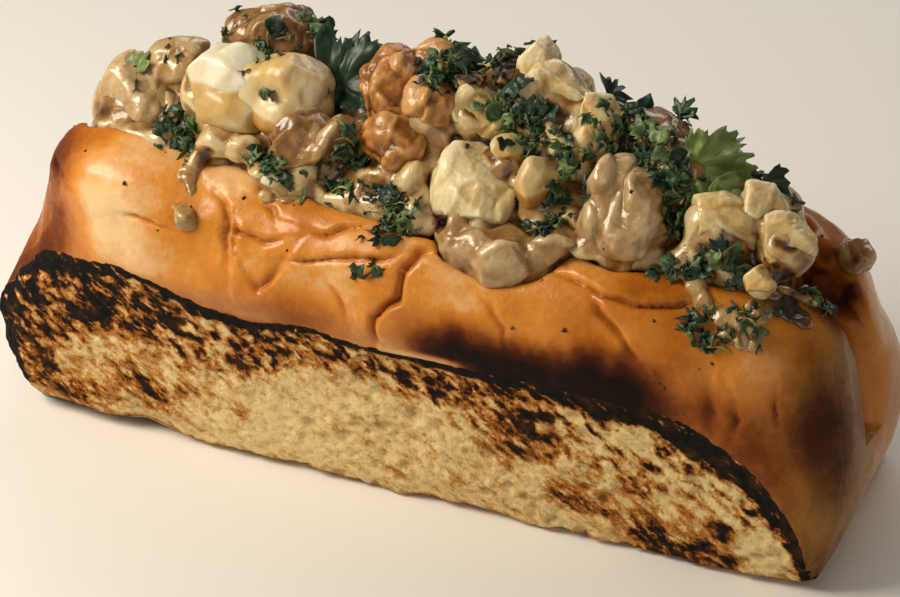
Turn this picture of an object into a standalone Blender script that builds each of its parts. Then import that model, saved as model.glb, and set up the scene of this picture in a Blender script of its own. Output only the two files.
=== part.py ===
# A filled split-top bun: one bun slit along its top, a bound seafood filling that runs
# through the slit and heaps over it, and the separate pieces of meat bedded in the heap.
# Metres, +Z up, +X along the bun. The origin is the middle of the bun's flat base, and the
# flat cut sides of the bun face -Y and +Y.
import math
import random
from collections import namedtuple

import bmesh
import bpy
import numpy as np
from mathutils import Matrix, Vector, noise

MM = 0.001
GOLDEN_ANGLE = math.pi * (3 - math.sqrt(5))

# Bun. The -X end is the blunter and the taller one.
BASE_HALF_LENGTH = 74 * MM
LEFT_BULGE, LEFT_BULGE_HEIGHT = 7.4 * MM, 17 * MM     # how far an end stands out, and where
RIGHT_BULGE, RIGHT_BULGE_HEIGHT = 3.2 * MM, 13 * MM
BULGE_SPREAD_BELOW = 10 * MM
LEFT_SPREAD_ABOVE, RIGHT_SPREAD_ABOVE = 17 * MM, 17 * MM
CUT_SIDE = 25 * MM            # flat cut sides lie at -Y and +Y of this
CRUST_HALF_WIDTH = 28 * MM    # the crust overhangs the cut sides
CROWN_HEIGHT = 55 * MM
LEFT_RISE = 3 * MM            # how much higher the crown is towards -X
SHOULDER_HEIGHT = 29 * MM     # the crown starts to dome here
LEFT_RISE_START, LEFT_RISE_LENGTH = 15 * MM, 45 * MM
SIDE_DOME, LEFT_DOME, RIGHT_DOME = 2.7, 5.6, 3.5      # roundness: 2 is an ellipse
END_DOME_START, END_DOME_LENGTH = 35 * MM, 30 * MM    # where the sides' roundness gives way
LOW_CORNERS, HIGH_CORNERS = 11, 4                     # squareness of the bun seen from above
CORNERS_START, CORNERS_RISE = 12 * MM, 24 * MM        # where that changes, and over what height
CUT_SIDE_HEIGHT = 30 * MM     # top edge of a cut side
OVERHANG_RISE = 6 * MM        # height over which the crust swells past the cut side
CORNER_START = 40 * MM        # from here to the +X end the cut side's top edge falls in an arc
LEFT_CORNER = 64 * MM         # the -X corner is tighter
BASE_EDGE, BASE_INSET = 2 * MM, 0.5 * MM              # rounding of the base's edge
SPINE_HEIGHT = 20 * MM        # the surface is found outwards from this line
SPINE_HALF_LENGTH = 50 * MM
BUN_CELLS = (25, 8, 8)        # grid cells along X, Y, Z
NEAREST, FURTHEST = 0.2, 3.0  # between these shares of the box the surface is looked for
SEARCH_STEPS = 40
BASE_FLAT = 0.05 * MM         # what lies lower than this is put on the ground

# The crown's soft unevenness: its depth, the size of its swells, and where it fades out
DENT = 1.6 * MM
DENT_PITCH = (34 * MM, 30 * MM, 30 * MM)
DENT_LOWEST, DENT_FADE = 8 * MM, 20 * MM
DENT_RIM_GAP = 3 * MM
DENT_AIM = 0.6                # how far along the bun a dent's direction leans

# Slit
SLIT_FLOOR = 18 * MM
SLIT_FLOOR_HALF = 2.5 * MM
SLIT_MOUTH_HALF = 12.5 * MM   # at mid length, where the filling pushes the lobes apart
SLIT_END_HALF = 6 * MM        # at the ends, where they lean together
SLIT_TOP = 66 * MM
SLIT_WIDEST = 2 * MM          # where along the bun it is widest
SLIT_HALF_LENGTH = 72 * MM
SLIT_END_CURVE, SLIT_WALL_CURVE = 2.2, 1.15
LIP_FLARE, LIP_HEIGHT, LIP_CURVE = 5 * MM, 43 * MM, 2
SLIT_REACH = 100 * MM         # past both ends of the bun
SLIT_CELLS = (16, 2, 9)

# Filling
FILLING_START = -68 * MM
FILLING_END = 61 * MM
FILLING_VOXEL = 2.4 * MM
FILLING_TRIANGLES = 850
FILLING_SMOOTHING = 2
CORE_TOP = 48 * MM
CORE_CLEARANCE = 0.2 * MM
HEAP_HEIGHT = 62.5 * MM       # the ridge, before its falls and humps
HEAP_FALL = 9 * MM            # how much lower the ridge ends
RIGHT_FALL_START, RIGHT_FALL_LENGTH = 38 * MM, 26 * MM
LEFT_FALL_START, LEFT_FALL_LENGTH = 44 * MM, 22 * MM
HEAP_HUMPS = ((6 * MM, 10 * MM, 15 * MM), (3.5 * MM, -35 * MM, 11 * MM))   # rise, where, spread
HEAP_RIPPLE, HEAP_RIPPLE_PITCH, HEAP_RIPPLE_START = 1.2 * MM, 7 * MM, 0.6
HEAP_REACH = 8.5 * MM         # how far out the outer lumps lie
HEAP_SPILL, SPILL_MIDDLE, SPILL_SPREAD = 6.5 * MM, 10 * MM, 26 * MM
LUMP_ROWS = (-1, -0.5, 0, 0.5, 1)
LUMP_RADII = (5.2, 7.5)       # mm
LUMP_PITCH = 7.5 * MM
LUMP_START, LUMP_END = 7 * MM, 4 * MM                 # how far inside the filling's ends
LUMP_DRIFT = (2, 1, 0.8)      # mm, along X, Y, Z
LUMP_LENGTH, LUMP_FLATTEST = 1.1, 0.8
LUMP_DROP_CURVE = 1.8
LUMP_SEED = 11
SPILL_HEIGHT = 58 * MM        # top of the outer lumps, which lie on the crust
CLEARANCE = 0.35 * MM         # gap between pieces that touch
FILLING_CLEARANCE = 0.6 * MM  # the filling has creases, where growing it gains less
NEST_CLEARANCE = 0.7 * MM     # a piece's nest in the filling is coarser than the piece
NEST_TRIANGLES = 64

# Linear colours and roughness. The longest name that a node's name starts with decides.
LOOKS = {
    "": ((0.58, 0.42, 0.22), 0.35),
    "bun": ((0.52, 0.22, 0.05), 0.45),
    "filling": ((0.42, 0.27, 0.15), 0.3),
    "coated": ((0.45, 0.28, 0.15), 0.25),
    "roasted": ((0.40, 0.16, 0.05), 0.4),
    "charred": ((0.03, 0.02, 0.015), 0.6),
}
SHARP_ANGLE = 50              # degrees, above which an edge is shaded sharp

# A piece of meat: its centre and its half sizes across, through and up in mm, its lean about X
# and its roll about its own depth in degrees, how many broken faces it has, and how sharp they
# are. A piece is cut by the ones before it where they press together.
Chunk = namedtuple("Chunk", "centre half_sizes lean roll faces sharpness")
CHUNKS = {
    "tail_white": ((-39.6, -6.5, 61.9), (9.4, 7.8, 9), -33, 8, 8, 6),
    "tail_second": ((-27.4, -5.5, 63.8), (7.4, 7, 8.8), -33, -10, 8, 7),
    "tail_crown": ((-35.8, 3.5, 69.4), (11.6, 6.6, 5.6), -20, -4, 8, 8),
    "end_piece": ((-58.6, -4.5, 55.6), (9.4, 7.5, 8.4), -28, 14, 9, 7),
    "end_crown": ((-51.6, 0, 62.4), (6.4, 6, 5.2), -20, -20, 8, 8),
    "folded_piece": ((-23, -12, 59.2), (8, 5.2, 6.4), -38, 12, 9, 9),
    "tail_lower": ((-26, -16, 53.4), (4.4, 3.6, 3.8), -30, -12, 8, 8),
    "roasted_upper": ((-10, -1.5, 68), (6.4, 6.2, 7), -30, 16, 10, 9),
    "roasted_crown": ((-3.8, 2.2, 71.6), (5.8, 5, 4.4), -20, -12, 9, 9),
    "roasted_middle": ((-1.6, -5.5, 67), (5.4, 5.4, 6.4), -33, -8, 9, 9),
    "roasted_lower": ((-7.6, -9.5, 61.8), (6.4, 5.6, 5.6), -33, 24, 9, 9),
    "flake_large": ((9, -11, 56.6), (9.6, 7.6, 9.4), -33, -10, 10, 12),
    "flake_upper": ((6.4, -3.4, 67), (6.4, 5.6, 5.2), -28, 14, 8, 11),
    "flake_crown": ((18.2, -1, 69.8), (9.4, 7.8, 8.6), -26, 18, 10, 13),
    "flake_right": ((26.6, -3.2, 68.8), (5, 5.8, 6.8), -30, -14, 8, 12),
    "flake_wedge": ((22.5, -7.4, 66), (6.8, 4.8, 4.2), -33, 26, 8, 13),
    "flake_tip": ((13.9, 3.6, 75.2), (4.2, 4.4, 4.4), -20, 40, 7, 14),
    "segment_pale": ((20, -11.5, 60.8), (4, 4.4, 5.8), -33, 22, 8, 9),
    "segment_second": ((13.2, -8.8, 62.8), (3.6, 3.8, 4.2), -33, -10, 8, 10),
    "coated_long": ((34.2, -11.5, 57.4), (7.8, 6.4, 10.4), -33, 10, 8, 7),
    "coated_front": ((14.6, -17.5, 49.8), (12, 5.6, 6.2), -40, 8, 9, 7),
    "knuckle_left": ((51.4, -9.8, 58.8), (7.4, 6, 6.6), -33, -12, 8, 9),
    "knuckle_top": ((56.8, -6.8, 61.8), (5.2, 5.2, 5), -28, 22, 8, 10),
    "knuckle_right": ((62.6, -11, 58.4), (5.4, 5.4, 6), -33, -18, 9, 9),
    "morsel": ((60.4, -16, 53.6), (3, 2.5, 2.8), -33, 30, 7, 11),
    "charred_upper": ((9.8, 1.4, 73), (4.6, 3.8, 3.2), -20, 10, 9, 9),
    "charred_lower": ((3.2, -2.6, 70.2), (4.4, 3.4, 2.6), -28, -16, 9, 9),
    "behind_leaf": ((42, -4, 63), (5.4, 6, 6.4), -30, 12, 9, 8),
    "back_brown": ((35.4, 1, 66.2), (6.6, 5.8, 5), -15, -10, 9, 8),
    "back_lump": ((46.4, 2.5, 62.4), (5, 5.4, 5.4), -15, 14, 9, 8),
    "lip_morsel": ((70, 6.5, 48.4), (3, 3.4, 3.8), 0, 10, 8, 8),
    "back_tail": ((-45, 11, 57.5), (8.6, 6.8, 7.4), 33, 10, 8, 7),
    "back_coated": ((-21, 12, 57), (9, 6.6, 7.4), 33, -12, 8, 7),
    "back_flake": ((2, 13, 60.5), (8.8, 7, 8.2), 33, 14, 9, 12),
    "back_segment": ((22, 13.5, 57), (7, 6.4, 8.2), 33, -16, 9, 10),
    "back_knuckle": ((41, 11.5, 55), (7.8, 6.2, 6.8), 33, 12, 9, 9),
    "back_end": ((56, 7.5, 52), (5.8, 5.6, 6), 30, -8, 8, 9),
}
LARGE_CHUNK = 8 * MM
CHUNK_GRAIN = 0.5             # share of a ball's triangles kept, for a piece that large
LEAST_GRAIN = 0.24
CUT_GRAIN = 0.62              # share of a cut piece's triangles kept: the cuts leave slivers
CORE_FACE = 0.85              # where an unbroken stretch of a piece ends, its furthest being 1
BROKEN_NEAREST = 0.78         # where the nearest broken face of a piece may lie
BROKEN_TURN = 0.4             # how far a broken face strays round the piece, in radians
RIPPLE, RIPPLE_PITCH = 0.06, 2.3


def smooth_step(value):
    t = min(max(value, 0.0), 1.0)
    return t * t * (3 - 2 * t)


def ramp(value, start, length):
    """0 up to start, 1 from length past it."""
    return smooth_step((value - start) / length)


def hump(x, centre, spread):
    return math.exp(-(((x - centre) / spread) ** 2))


def new_object(name, mesh, collection):
    colour, roughness = LOOKS[max((key for key in LOOKS if name.startswith(key)), key=len)]
    obj = bpy.data.objects.new(name, mesh)
    material = bpy.data.materials.new(name)
    material.use_nodes = True
    shader = material.node_tree.nodes["Principled BSDF"]
    shader.inputs["Base Color"].default_value = (*colour, 1)
    shader.inputs["Roughness"].default_value = roughness
    mesh.materials.clear()
    mesh.materials.append(material)
    collection.objects.link(obj)
    return obj


def helper(name, mesh, collection):
    """A cutter or guide, which isn't part of the object."""
    obj = bpy.data.objects.new(name, mesh)
    collection.objects.link(obj)
    obj.hide_render = True
    obj.display_type = "WIRE"
    return obj


def cell_box(name, low, high, cells):
    """A box between two corners, its sides divided into a grid of cells."""
    bm = bmesh.new()
    bmesh.ops.create_cube(bm, size=1)
    for axis, count in enumerate(cells):
        edges = [
            e for e in bm.edges
            if abs(abs((e.verts[0].co - e.verts[1].co).normalized()[axis]) - 1) < 1e-4
        ]
        bmesh.ops.subdivide_edges(bm, edges=edges, cuts=count - 1, use_grid_fill=True)
    for v in bm.verts:
        for axis in range(3):
            v.co[axis] = low[axis] + (v.co[axis] + 0.5) * (high[axis] - low[axis])
    mesh = bpy.data.meshes.new(name)
    bm.to_mesh(mesh)
    bm.free()
    return mesh


def cut_side_top(x):
    """Height of the cut side's top edge, which falls to the base at both ends."""
    if x > CORNER_START:
        t = (x - CORNER_START) / (BASE_HALF_LENGTH - CORNER_START)
        return CUT_SIDE_HEIGHT * math.sqrt(max(0.0, 1 - t * t))
    if x < -LEFT_CORNER:
        t = (-x - LEFT_CORNER) / (BASE_HALF_LENGTH + LEFT_BULGE - LEFT_CORNER)
        return CUT_SIDE_HEIGHT * max(0.0, 1 - t**4) ** 0.5
    return CUT_SIDE_HEIGHT


def bun_level(p):
    """Under 1 inside the unslit bun and over 1 outside it."""
    x, y, z = p
    left = x < 0
    bulge = LEFT_BULGE if left else RIGHT_BULGE
    height = LEFT_BULGE_HEIGHT if left else RIGHT_BULGE_HEIGHT
    above = LEFT_SPREAD_ABOVE if left else RIGHT_SPREAD_ABOVE
    spread = above if z > height else BULGE_SPREAD_BELOW
    half_length = BASE_HALF_LENGTH + bulge * hump(z, height, spread)
    squareness = LOW_CORNERS + (HIGH_CORNERS - LOW_CORNERS) * ramp(z, CORNERS_START, CORNERS_RISE)
    plan = (abs(x) / half_length) ** squareness + (abs(y) / CRUST_HALF_WIDTH) ** squareness
    plan = plan ** (1 / squareness)
    crown = CROWN_HEIGHT + LEFT_RISE * ramp(-x, LEFT_RISE_START, LEFT_RISE_LENGTH)
    dome = max(0.0, z - SHOULDER_HEIGHT) / (crown - SHOULDER_HEIGHT)
    end_dome = LEFT_DOME if left else RIGHT_DOME
    power = SIDE_DOME + (end_dome - SIDE_DOME) * ramp(abs(x), END_DOME_START, END_DOME_LENGTH)
    body = (plan**power + dome**power) ** (1 / power)
    inset = BASE_INSET * (1 - smooth_step(z / BASE_EDGE))
    swell = smooth_step((z - cut_side_top(x)) / OVERHANG_RISE)
    side = CUT_SIDE + (CRUST_HALF_WIDTH - CUT_SIDE) * swell - inset
    return max(body, abs(y) / side, (SPINE_HEIGHT - z) / SPINE_HEIGHT)


def on_bun(p):
    """Where the line from the bun's spine through p meets the bun's surface."""
    spine = Vector((max(-SPINE_HALF_LENGTH, min(SPINE_HALF_LENGTH, p.x)), 0, SPINE_HEIGHT))
    ray = p - spine
    low, high = NEAREST, FURTHEST
    for _ in range(SEARCH_STEPS):
        middle = (low + high) / 2
        if bun_level(spine + ray * middle) < 1:
            low = middle
        else:
            high = middle
    return spine + ray * low


def dented(p):
    """The crown's soft unevenness, none on the base or the cut sides."""
    if p.z < cut_side_top(p.x) + DENT_RIM_GAP or p.z < DENT_LOWEST:
        return p
    share = ramp(p.z, DENT_LOWEST, DENT_FADE)
    swell = noise.noise(Vector([c / pitch for c, pitch in zip(p, DENT_PITCH)]))
    ray = (p - Vector((p.x * DENT_AIM, 0, SPINE_HEIGHT))).normalized()
    return p + ray * swell * share * DENT


def bun_mesh():
    mesh = cell_box(
        "bun",
        (-BASE_HALF_LENGTH, -CUT_SIDE, 0),
        (BASE_HALF_LENGTH, CUT_SIDE, CROWN_HEIGHT),
        BUN_CELLS,
    )
    for v in mesh.vertices:
        v.co = dented(on_bun(v.co))
        if v.co.z < BASE_FLAT:
            v.co.z = 0
    return mesh


def slit_half_width(x, z):
    """Half the slit's width: narrow at its floor, opened by the filling, flared at the lips."""
    along = min(1.0, abs(x - SLIT_WIDEST) / SLIT_HALF_LENGTH)
    mouth = SLIT_MOUTH_HALF + (SLIT_END_HALF - SLIT_MOUTH_HALF) * along**SLIT_END_CURVE
    rise = max(0.0, z - SLIT_FLOOR) / (CROWN_HEIGHT - SLIT_FLOOR)
    lip = max(0.0, z - LIP_HEIGHT) / (CROWN_HEIGHT - LIP_HEIGHT)
    wall = SLIT_FLOOR_HALF + (mouth - SLIT_FLOOR_HALF) * rise**SLIT_WALL_CURVE
    return wall + LIP_FLARE * lip**LIP_CURVE


def slit_mesh(name, start, end, top, grow):
    """The slit's space between two stations, grown on all sides."""
    mesh = cell_box(name, (start, -1, SLIT_FLOOR - grow), (end, 1, top), SLIT_CELLS)
    for v in mesh.vertices:
        v.co.y *= slit_half_width(v.co.x, min(v.co.z, CROWN_HEIGHT)) + grow
    return mesh


def ball(centre, half_sizes, subdivisions=2):
    bm = bmesh.new()
    bmesh.ops.create_icosphere(bm, subdivisions=subdivisions, radius=1)
    bmesh.ops.transform(
        bm, verts=bm.verts, matrix=Matrix.Translation(centre) @ Matrix.Diagonal((*half_sizes, 1))
    )
    mesh = bpy.data.meshes.new("ball")
    bm.to_mesh(mesh)
    bm.free()
    return mesh


def heap_top(x):
    """Height of the bound filling's ridge, which humps and sinks along the bun."""
    ripple = HEAP_RIPPLE * math.sin(x / HEAP_RIPPLE_PITCH + HEAP_RIPPLE_START)
    falls = HEAP_FALL * ramp(x, RIGHT_FALL_START, RIGHT_FALL_LENGTH)
    falls += HEAP_FALL * ramp(-x, LEFT_FALL_START, LEFT_FALL_LENGTH)
    humps = sum(rise * hump(x, where, spread) for rise, where, spread in HEAP_HUMPS)
    return HEAP_HEIGHT + humps + ripple - falls


def heap_reach(x):
    """How far out the outer lumps' middles lie: the filling spills over the crust mid length."""
    return HEAP_REACH + HEAP_SPILL * hump(x, SPILL_MIDDLE, SPILL_SPREAD)


def filling_lumps():
    """Balls of uneven size in rows along the heap."""
    chance = random.Random(LUMP_SEED)
    lumps = []
    x = FILLING_START + LUMP_START
    while x < FILLING_END - LUMP_END:
        ridge = heap_top(x)
        for side in LUMP_ROWS:
            radius = chance.uniform(*LUMP_RADII) * MM
            drop = abs(side) ** LUMP_DROP_CURVE * (ridge - SPILL_HEIGHT)
            middle = (x, side * heap_reach(x), ridge - radius - drop)
            centre = Vector([c + chance.uniform(-far, far) * MM for c, far in zip(middle, LUMP_DRIFT)])
            flatness = chance.uniform(LUMP_FLATTEST, 1.0)
            lumps.append((centre, (radius * LUMP_LENGTH, radius, radius * flatness)))
        x += LUMP_PITCH
    return lumps


def joined(name, meshes):
    bm = bmesh.new()
    for mesh in meshes:
        bm.from_mesh(mesh)
    whole = bpy.data.meshes.new(name)
    bm.to_mesh(whole)
    bm.free()
    return whole


def applied(obj, name):
    """The object's evaluated mesh as a mesh of its own."""
    graph = bpy.context.evaluated_depsgraph_get()
    mesh = bpy.data.meshes.new_from_object(obj.evaluated_get(graph))
    mesh.name = name
    return mesh


def filling_mesh(helpers):
    core = slit_mesh("core", FILLING_START, FILLING_END, CORE_TOP, -CORE_CLEARANCE)
    meshes = [core] + [ball(centre, sizes) for centre, sizes in filling_lumps()]
    rough = helper("filling_rough", joined("filling_rough", meshes), helpers)
    remesh = rough.modifiers.new("fuse", "REMESH")
    remesh.mode = "VOXEL"
    remesh.voxel_size = FILLING_VOXEL
    smooth = rough.modifiers.new("soften", "SMOOTH")
    smooth.iterations = FILLING_SMOOTHING
    thin = rough.modifiers.new("thin", "DECIMATE")
    quads = len(applied(rough, "count").polygons)
    thin.ratio = min(1.0, FILLING_TRIANGLES / (2 * quads))
    return applied(rough, "filling")


def thinned(mesh, ratio, helpers):
    """The mesh with that share of its triangles kept."""
    guide = helper("guide", mesh, helpers)
    modifier = guide.modifiers.new("thin", "DECIMATE")
    modifier.ratio = ratio
    result = applied(guide, mesh.name)
    bpy.data.objects.remove(guide)
    return result


def broken_faces(chance, count):
    """Planes all round a unit ball, as normals on a spiral and how far out each plane is."""
    planes = []
    for i in range(count):
        rise = 1 - 2 * (i + 0.5) / count
        around = i * GOLDEN_ANGLE + chance.uniform(-BROKEN_TURN, BROKEN_TURN)
        flat = math.sqrt(1 - rise * rise)
        normal = Vector((flat * math.cos(around), flat * math.sin(around), rise))
        planes.append((normal, chance.uniform(BROKEN_NEAREST, 1.0)))
    return planes


def chunk_mesh(name, chunk, helpers):
    """A piece of torn meat: a ball pressed flat by a few broken faces."""
    planes = broken_faces(random.Random(name), chunk.faces)
    mesh = ball((0, 0, 0), (1, 1, 1), 3)
    for v in mesh.vertices:
        way = v.co.normalized()
        level = sum(max(0.0, way.dot(n) / out) ** chunk.sharpness for n, out in planes)
        level = (level + CORE_FACE**chunk.sharpness) ** (1 / chunk.sharpness)
        ripple = 1 + RIPPLE * noise.noise(way * RIPPLE_PITCH + Vector(chunk.centre))
        v.co = way * ripple / level
    widest = [max(abs(v.co[axis]) for v in mesh.vertices) for axis in range(3)]
    scales = [half * MM / wide for half, wide in zip(chunk.half_sizes, widest)]
    rolled = Matrix.Rotation(math.radians(chunk.roll), 4, "Y")
    leaned = Matrix.Rotation(math.radians(chunk.lean), 4, "X")
    placed = Matrix.Translation(Vector(chunk.centre) * MM) @ leaned @ rolled
    mesh.transform(placed @ Matrix.Diagonal((*scales, 1)))
    mesh.name = name
    grain = CHUNK_GRAIN * chunk.half_sizes[0] * MM / LARGE_CHUNK
    return thinned(mesh, min(CHUNK_GRAIN, max(LEAST_GRAIN, grain)), helpers)


def grown(mesh, by):
    """A copy of the mesh with every point moved out along its normal."""
    copy = mesh.copy()
    moved = [v.co + v.normal * by for v in mesh.vertices]
    for v, co in zip(copy.vertices, moved):
        v.co = co
    return copy


def boxes_meet(first, second):
    ends = []
    for mesh in (first, second):
        points = np.array([v.co for v in mesh.vertices])
        ends.append((points.min(0), points.max(0)))
    (low_a, high_a), (low_b, high_b) = ends
    return bool((low_a < high_b).all() and (low_b < high_a).all())


def cut(obj, cutter_mesh, helpers):
    """Takes the cutter out of the object's mesh."""
    cutter = helper("cutter", cutter_mesh, helpers)
    modifier = obj.modifiers.new("cut", "BOOLEAN")
    modifier.operation = "DIFFERENCE"
    modifier.solver = "MANIFOLD"  # the exact solver loses the bun where cuts graze each other
    modifier.object = cutter
    name = obj.data.name
    material = obj.data.materials[0]
    mesh = applied(obj, name)
    obj.modifiers.remove(modifier)
    obj.data = mesh
    mesh.materials.clear()
    mesh.materials.append(material)
    bpy.data.objects.remove(cutter)


def keep_largest(mesh):
    """Drops the crumbs that the cuts leave loose."""
    bm = bmesh.new()
    bm.from_mesh(mesh)
    left = set(bm.verts)
    bodies = []
    while left:
        body, edge = set(), [next(iter(left))]
        while edge:
            vert = edge.pop()
            if vert not in body:
                body.add(vert)
                edge += [e.other_vert(vert) for e in vert.link_edges]
        left -= body
        bodies.append(body)
    bodies.sort(key=len)
    for body in bodies[:-1]:
        bmesh.ops.delete(bm, geom=list(body), context="VERTS")
    bm.to_mesh(mesh)
    bm.free()


def cut_by(obj, rooms, helpers):
    """Takes out of the object the room that each piece in reach of it needs. False if none is."""
    in_reach = [room for room in rooms if boxes_meet(obj.data, room)]
    for room in in_reach:
        cut(obj, room, helpers)
    keep_largest(obj.data)
    return bool(in_reach)


def add_chunks(parts, helpers):
    """Adds the pieces of meat, and returns the nest that each needs in the filling and the bun."""
    rooms, nests = [], []
    for name, facts in CHUNKS.items():
        whole = chunk_mesh(name, Chunk(*facts), helpers)
        chunk = new_object(name, whole, parts)
        room = grown(whole, CLEARANCE)
        nest = grown(whole, NEST_CLEARANCE)
        nests.append(thinned(nest, NEST_TRIANGLES / len(nest.polygons), helpers))
        if cut_by(chunk, rooms, helpers):
            thin = chunk.modifiers.new("thin", "DECIMATE")
            thin.ratio = CUT_GRAIN
        rooms.append(room)
    return nests


def main():
    for obj in list(bpy.data.objects):
        bpy.data.objects.remove(obj)
    parts = bpy.data.collections.new("lobster_roll")
    helpers = bpy.data.collections.new("helpers")
    bpy.context.scene.collection.children.link(parts)
    bpy.context.scene.collection.children.link(helpers)

    nests = add_chunks(parts, helpers)
    filling = new_object("filling", filling_mesh(helpers), parts)
    bun = new_object("bun", bun_mesh(), parts)
    cut(bun, slit_mesh("slit", -SLIT_REACH, SLIT_REACH, SLIT_TOP, 0), helpers)
    cut(bun, grown(filling.data, FILLING_CLEARANCE), helpers)
    cut_by(filling, nests, helpers)
    cut_by(bun, nests, helpers)
    for obj in parts.objects:
        obj.data.shade_smooth()
        obj.data.set_sharp_from_angle(angle=math.radians(SHARP_ANGLE))


main()
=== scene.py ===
# Lobster roll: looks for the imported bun, its filling and the pieces of meat bedded in it.
import math

import bmesh
import bpy
import numpy as np
from mathutils import Matrix, Vector
from mathutils.bvhtree import BVHTree


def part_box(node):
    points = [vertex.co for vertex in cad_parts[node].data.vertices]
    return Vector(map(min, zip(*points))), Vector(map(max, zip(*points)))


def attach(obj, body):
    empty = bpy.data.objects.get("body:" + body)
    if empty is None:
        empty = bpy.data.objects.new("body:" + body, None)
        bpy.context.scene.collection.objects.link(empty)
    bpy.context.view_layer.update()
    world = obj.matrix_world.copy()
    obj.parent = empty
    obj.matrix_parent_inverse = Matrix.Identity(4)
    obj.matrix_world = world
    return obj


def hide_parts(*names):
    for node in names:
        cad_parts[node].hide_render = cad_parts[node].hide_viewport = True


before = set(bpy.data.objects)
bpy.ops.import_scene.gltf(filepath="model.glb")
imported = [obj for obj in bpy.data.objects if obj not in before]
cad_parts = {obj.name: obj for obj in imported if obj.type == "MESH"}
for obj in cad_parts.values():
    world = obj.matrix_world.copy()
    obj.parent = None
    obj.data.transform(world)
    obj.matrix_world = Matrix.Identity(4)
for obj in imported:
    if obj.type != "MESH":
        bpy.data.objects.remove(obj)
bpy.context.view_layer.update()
mm = 0.001
print("frame loaded:", len(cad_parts), "nodes")


# a number 0 to 1 for each whole-number corner, always the same
def cornerValue(ix, iy, iz, seed):
    n = (ix * 73856093) ^ (iy * 19349663) ^ (iz * 83492791) ^ (seed * 26544357)
    n = (n ^ (n >> 13)) * 1274126177
    n = (n ^ (n >> 15)) * 668265263
    return ((n ^ (n >> 12)) & 0xFFFFFF) / 0xFFFFFF


# smooth noise from -1 to 1, its lumps about size across
def softNoise(co, size, seed, octaves=1, stretch=(1, 1, 1)):
    total, weight, amount = 0.0, 0.0, 1.0
    p = co / (np.array(stretch) * size)
    for octave in range(octaves):
        cell = np.floor(p).astype(np.int64)
        f = p - cell
        f = f * f * f * (f * (f * 6 - 15) + 10)
        value = 0.0
        for dx in (0, 1):
            wx = f[:, 0] if dx else 1 - f[:, 0]
            for dy in (0, 1):
                wy = f[:, 1] if dy else 1 - f[:, 1]
                for dz in (0, 1):
                    wz = f[:, 2] if dz else 1 - f[:, 2]
                    corner = cornerValue(cell[:, 0] + dx, cell[:, 1] + dy, cell[:, 2] + dz, seed + octave)
                    value = value + corner * wx * wy * wz
        total = total + (value * 2 - 1) * amount
        weight += amount
        amount *= 0.5
        p = p * 2.03 + 17.3
    return total / weight


# for scattered points: distance to the nearest and the second nearest in cells, the nearest one's own number,
# and a level that is flat round each point and slopes between them
def cellNoise(co, size, seed, stretch=(1, 1, 1)):
    p = co / (np.array(stretch) * size)
    cell = np.floor(p).astype(np.int64)
    near, second = np.full(len(p), 9.0), np.full(len(p), 9.0)
    number, level, weight = np.zeros(len(p)), np.zeros(len(p)), np.zeros(len(p))
    for dx in (-1, 0, 1):
        for dy in (-1, 0, 1):
            for dz in (-1, 0, 1):
                c = cell + (dx, dy, dz)
                jitter = np.stack([cornerValue(c[:, 0], c[:, 1], c[:, 2], seed + k) for k in (1, 2, 3)], 1)
                d = np.linalg.norm(c + jitter - p, axis=1)
                own = cornerValue(c[:, 0], c[:, 1], c[:, 2], seed + 9)
                closer = d < near
                second = np.where(closer, near, np.minimum(second, d))
                number = np.where(closer, own, number)
                near = np.minimum(near, d)
                share = np.exp(-14 * d * d)
                level, weight = level + own * share, weight + share
    return near, second, number, level / (weight + 1e-9)


# points carried off a little, so that what is drawn on them wanders
def wandered(co, size, reach, seed):
    return co + np.stack([softNoise(co, size, seed + k) for k in range(3)], 1) * reach


# 0 up to low, 1 from high on
def ease(low, high, value):
    t = np.clip((value - low) / (high - low), 0, 1)
    return t * t * (3 - 2 * t)


# one value, or a row of them, read from each item
def readAll(items, key, width=1, kind=float):
    values = np.empty(len(items) * width, kind)
    items.foreach_get(key, values)
    return values.reshape(-1, width) if width > 1 else values


def meshPoints(mesh):
    return readAll(mesh.vertices, "co", 3)


def meshNormals(mesh):
    return readAll(mesh.vertex_normals, "vector", 3)


# an object's mesh, its points and the two ends of each edge
def opened(obj):
    return obj.data, meshPoints(obj.data), readAll(obj.data.edges, "vertices", 2, np.int32)


def placePoints(mesh, co):
    mesh.vertices.foreach_set("co", co.ravel())
    mesh.update()


# each point, or value, drawn towards the mean of its neighbours
def relaxed(co, ends, times, share=0.5):
    flat = co.ndim == 1
    co = co[:, None].astype(float) if flat else co
    a, b = ends[:, 0], ends[:, 1]
    count = len(co)
    degree = np.bincount(a, minlength=count) + np.bincount(b, minlength=count)
    for _ in range(times):
        mean = np.stack([
            (np.bincount(a, co[b, k], count) + np.bincount(b, co[a, k], count)) / degree
            for k in range(co.shape[1])
        ], 1)
        co = co + (mean - co) * (share if np.isscalar(share) else share[:, None])
    return co[:, 0] if flat else co


# named values from 0 to 1 at the mesh's points, for the materials to read
def setMasks(mesh, **masks):
    for name, values in masks.items():
        attribute = mesh.attributes.new(name, "FLOAT", "POINT")
        attribute.data.foreach_set("value", np.clip(values, 0, 1).astype(np.float32))


# the object's evaluated mesh in place of its modifiers
def settled(obj):
    graph = bpy.context.evaluated_depsgraph_get()
    mesh = bpy.data.meshes.new_from_object(obj.evaluated_get(graph))
    obj.modifiers.clear()
    obj.data = mesh
    return obj


def newPiece(name, data):
    obj = bpy.data.objects.new(name, data)
    bpy.context.scene.collection.objects.link(obj)
    return obj


def meshFrom(bm, name):
    mesh = bpy.data.meshes.new(name)
    bm.to_mesh(mesh)
    bm.free()
    return mesh


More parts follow.
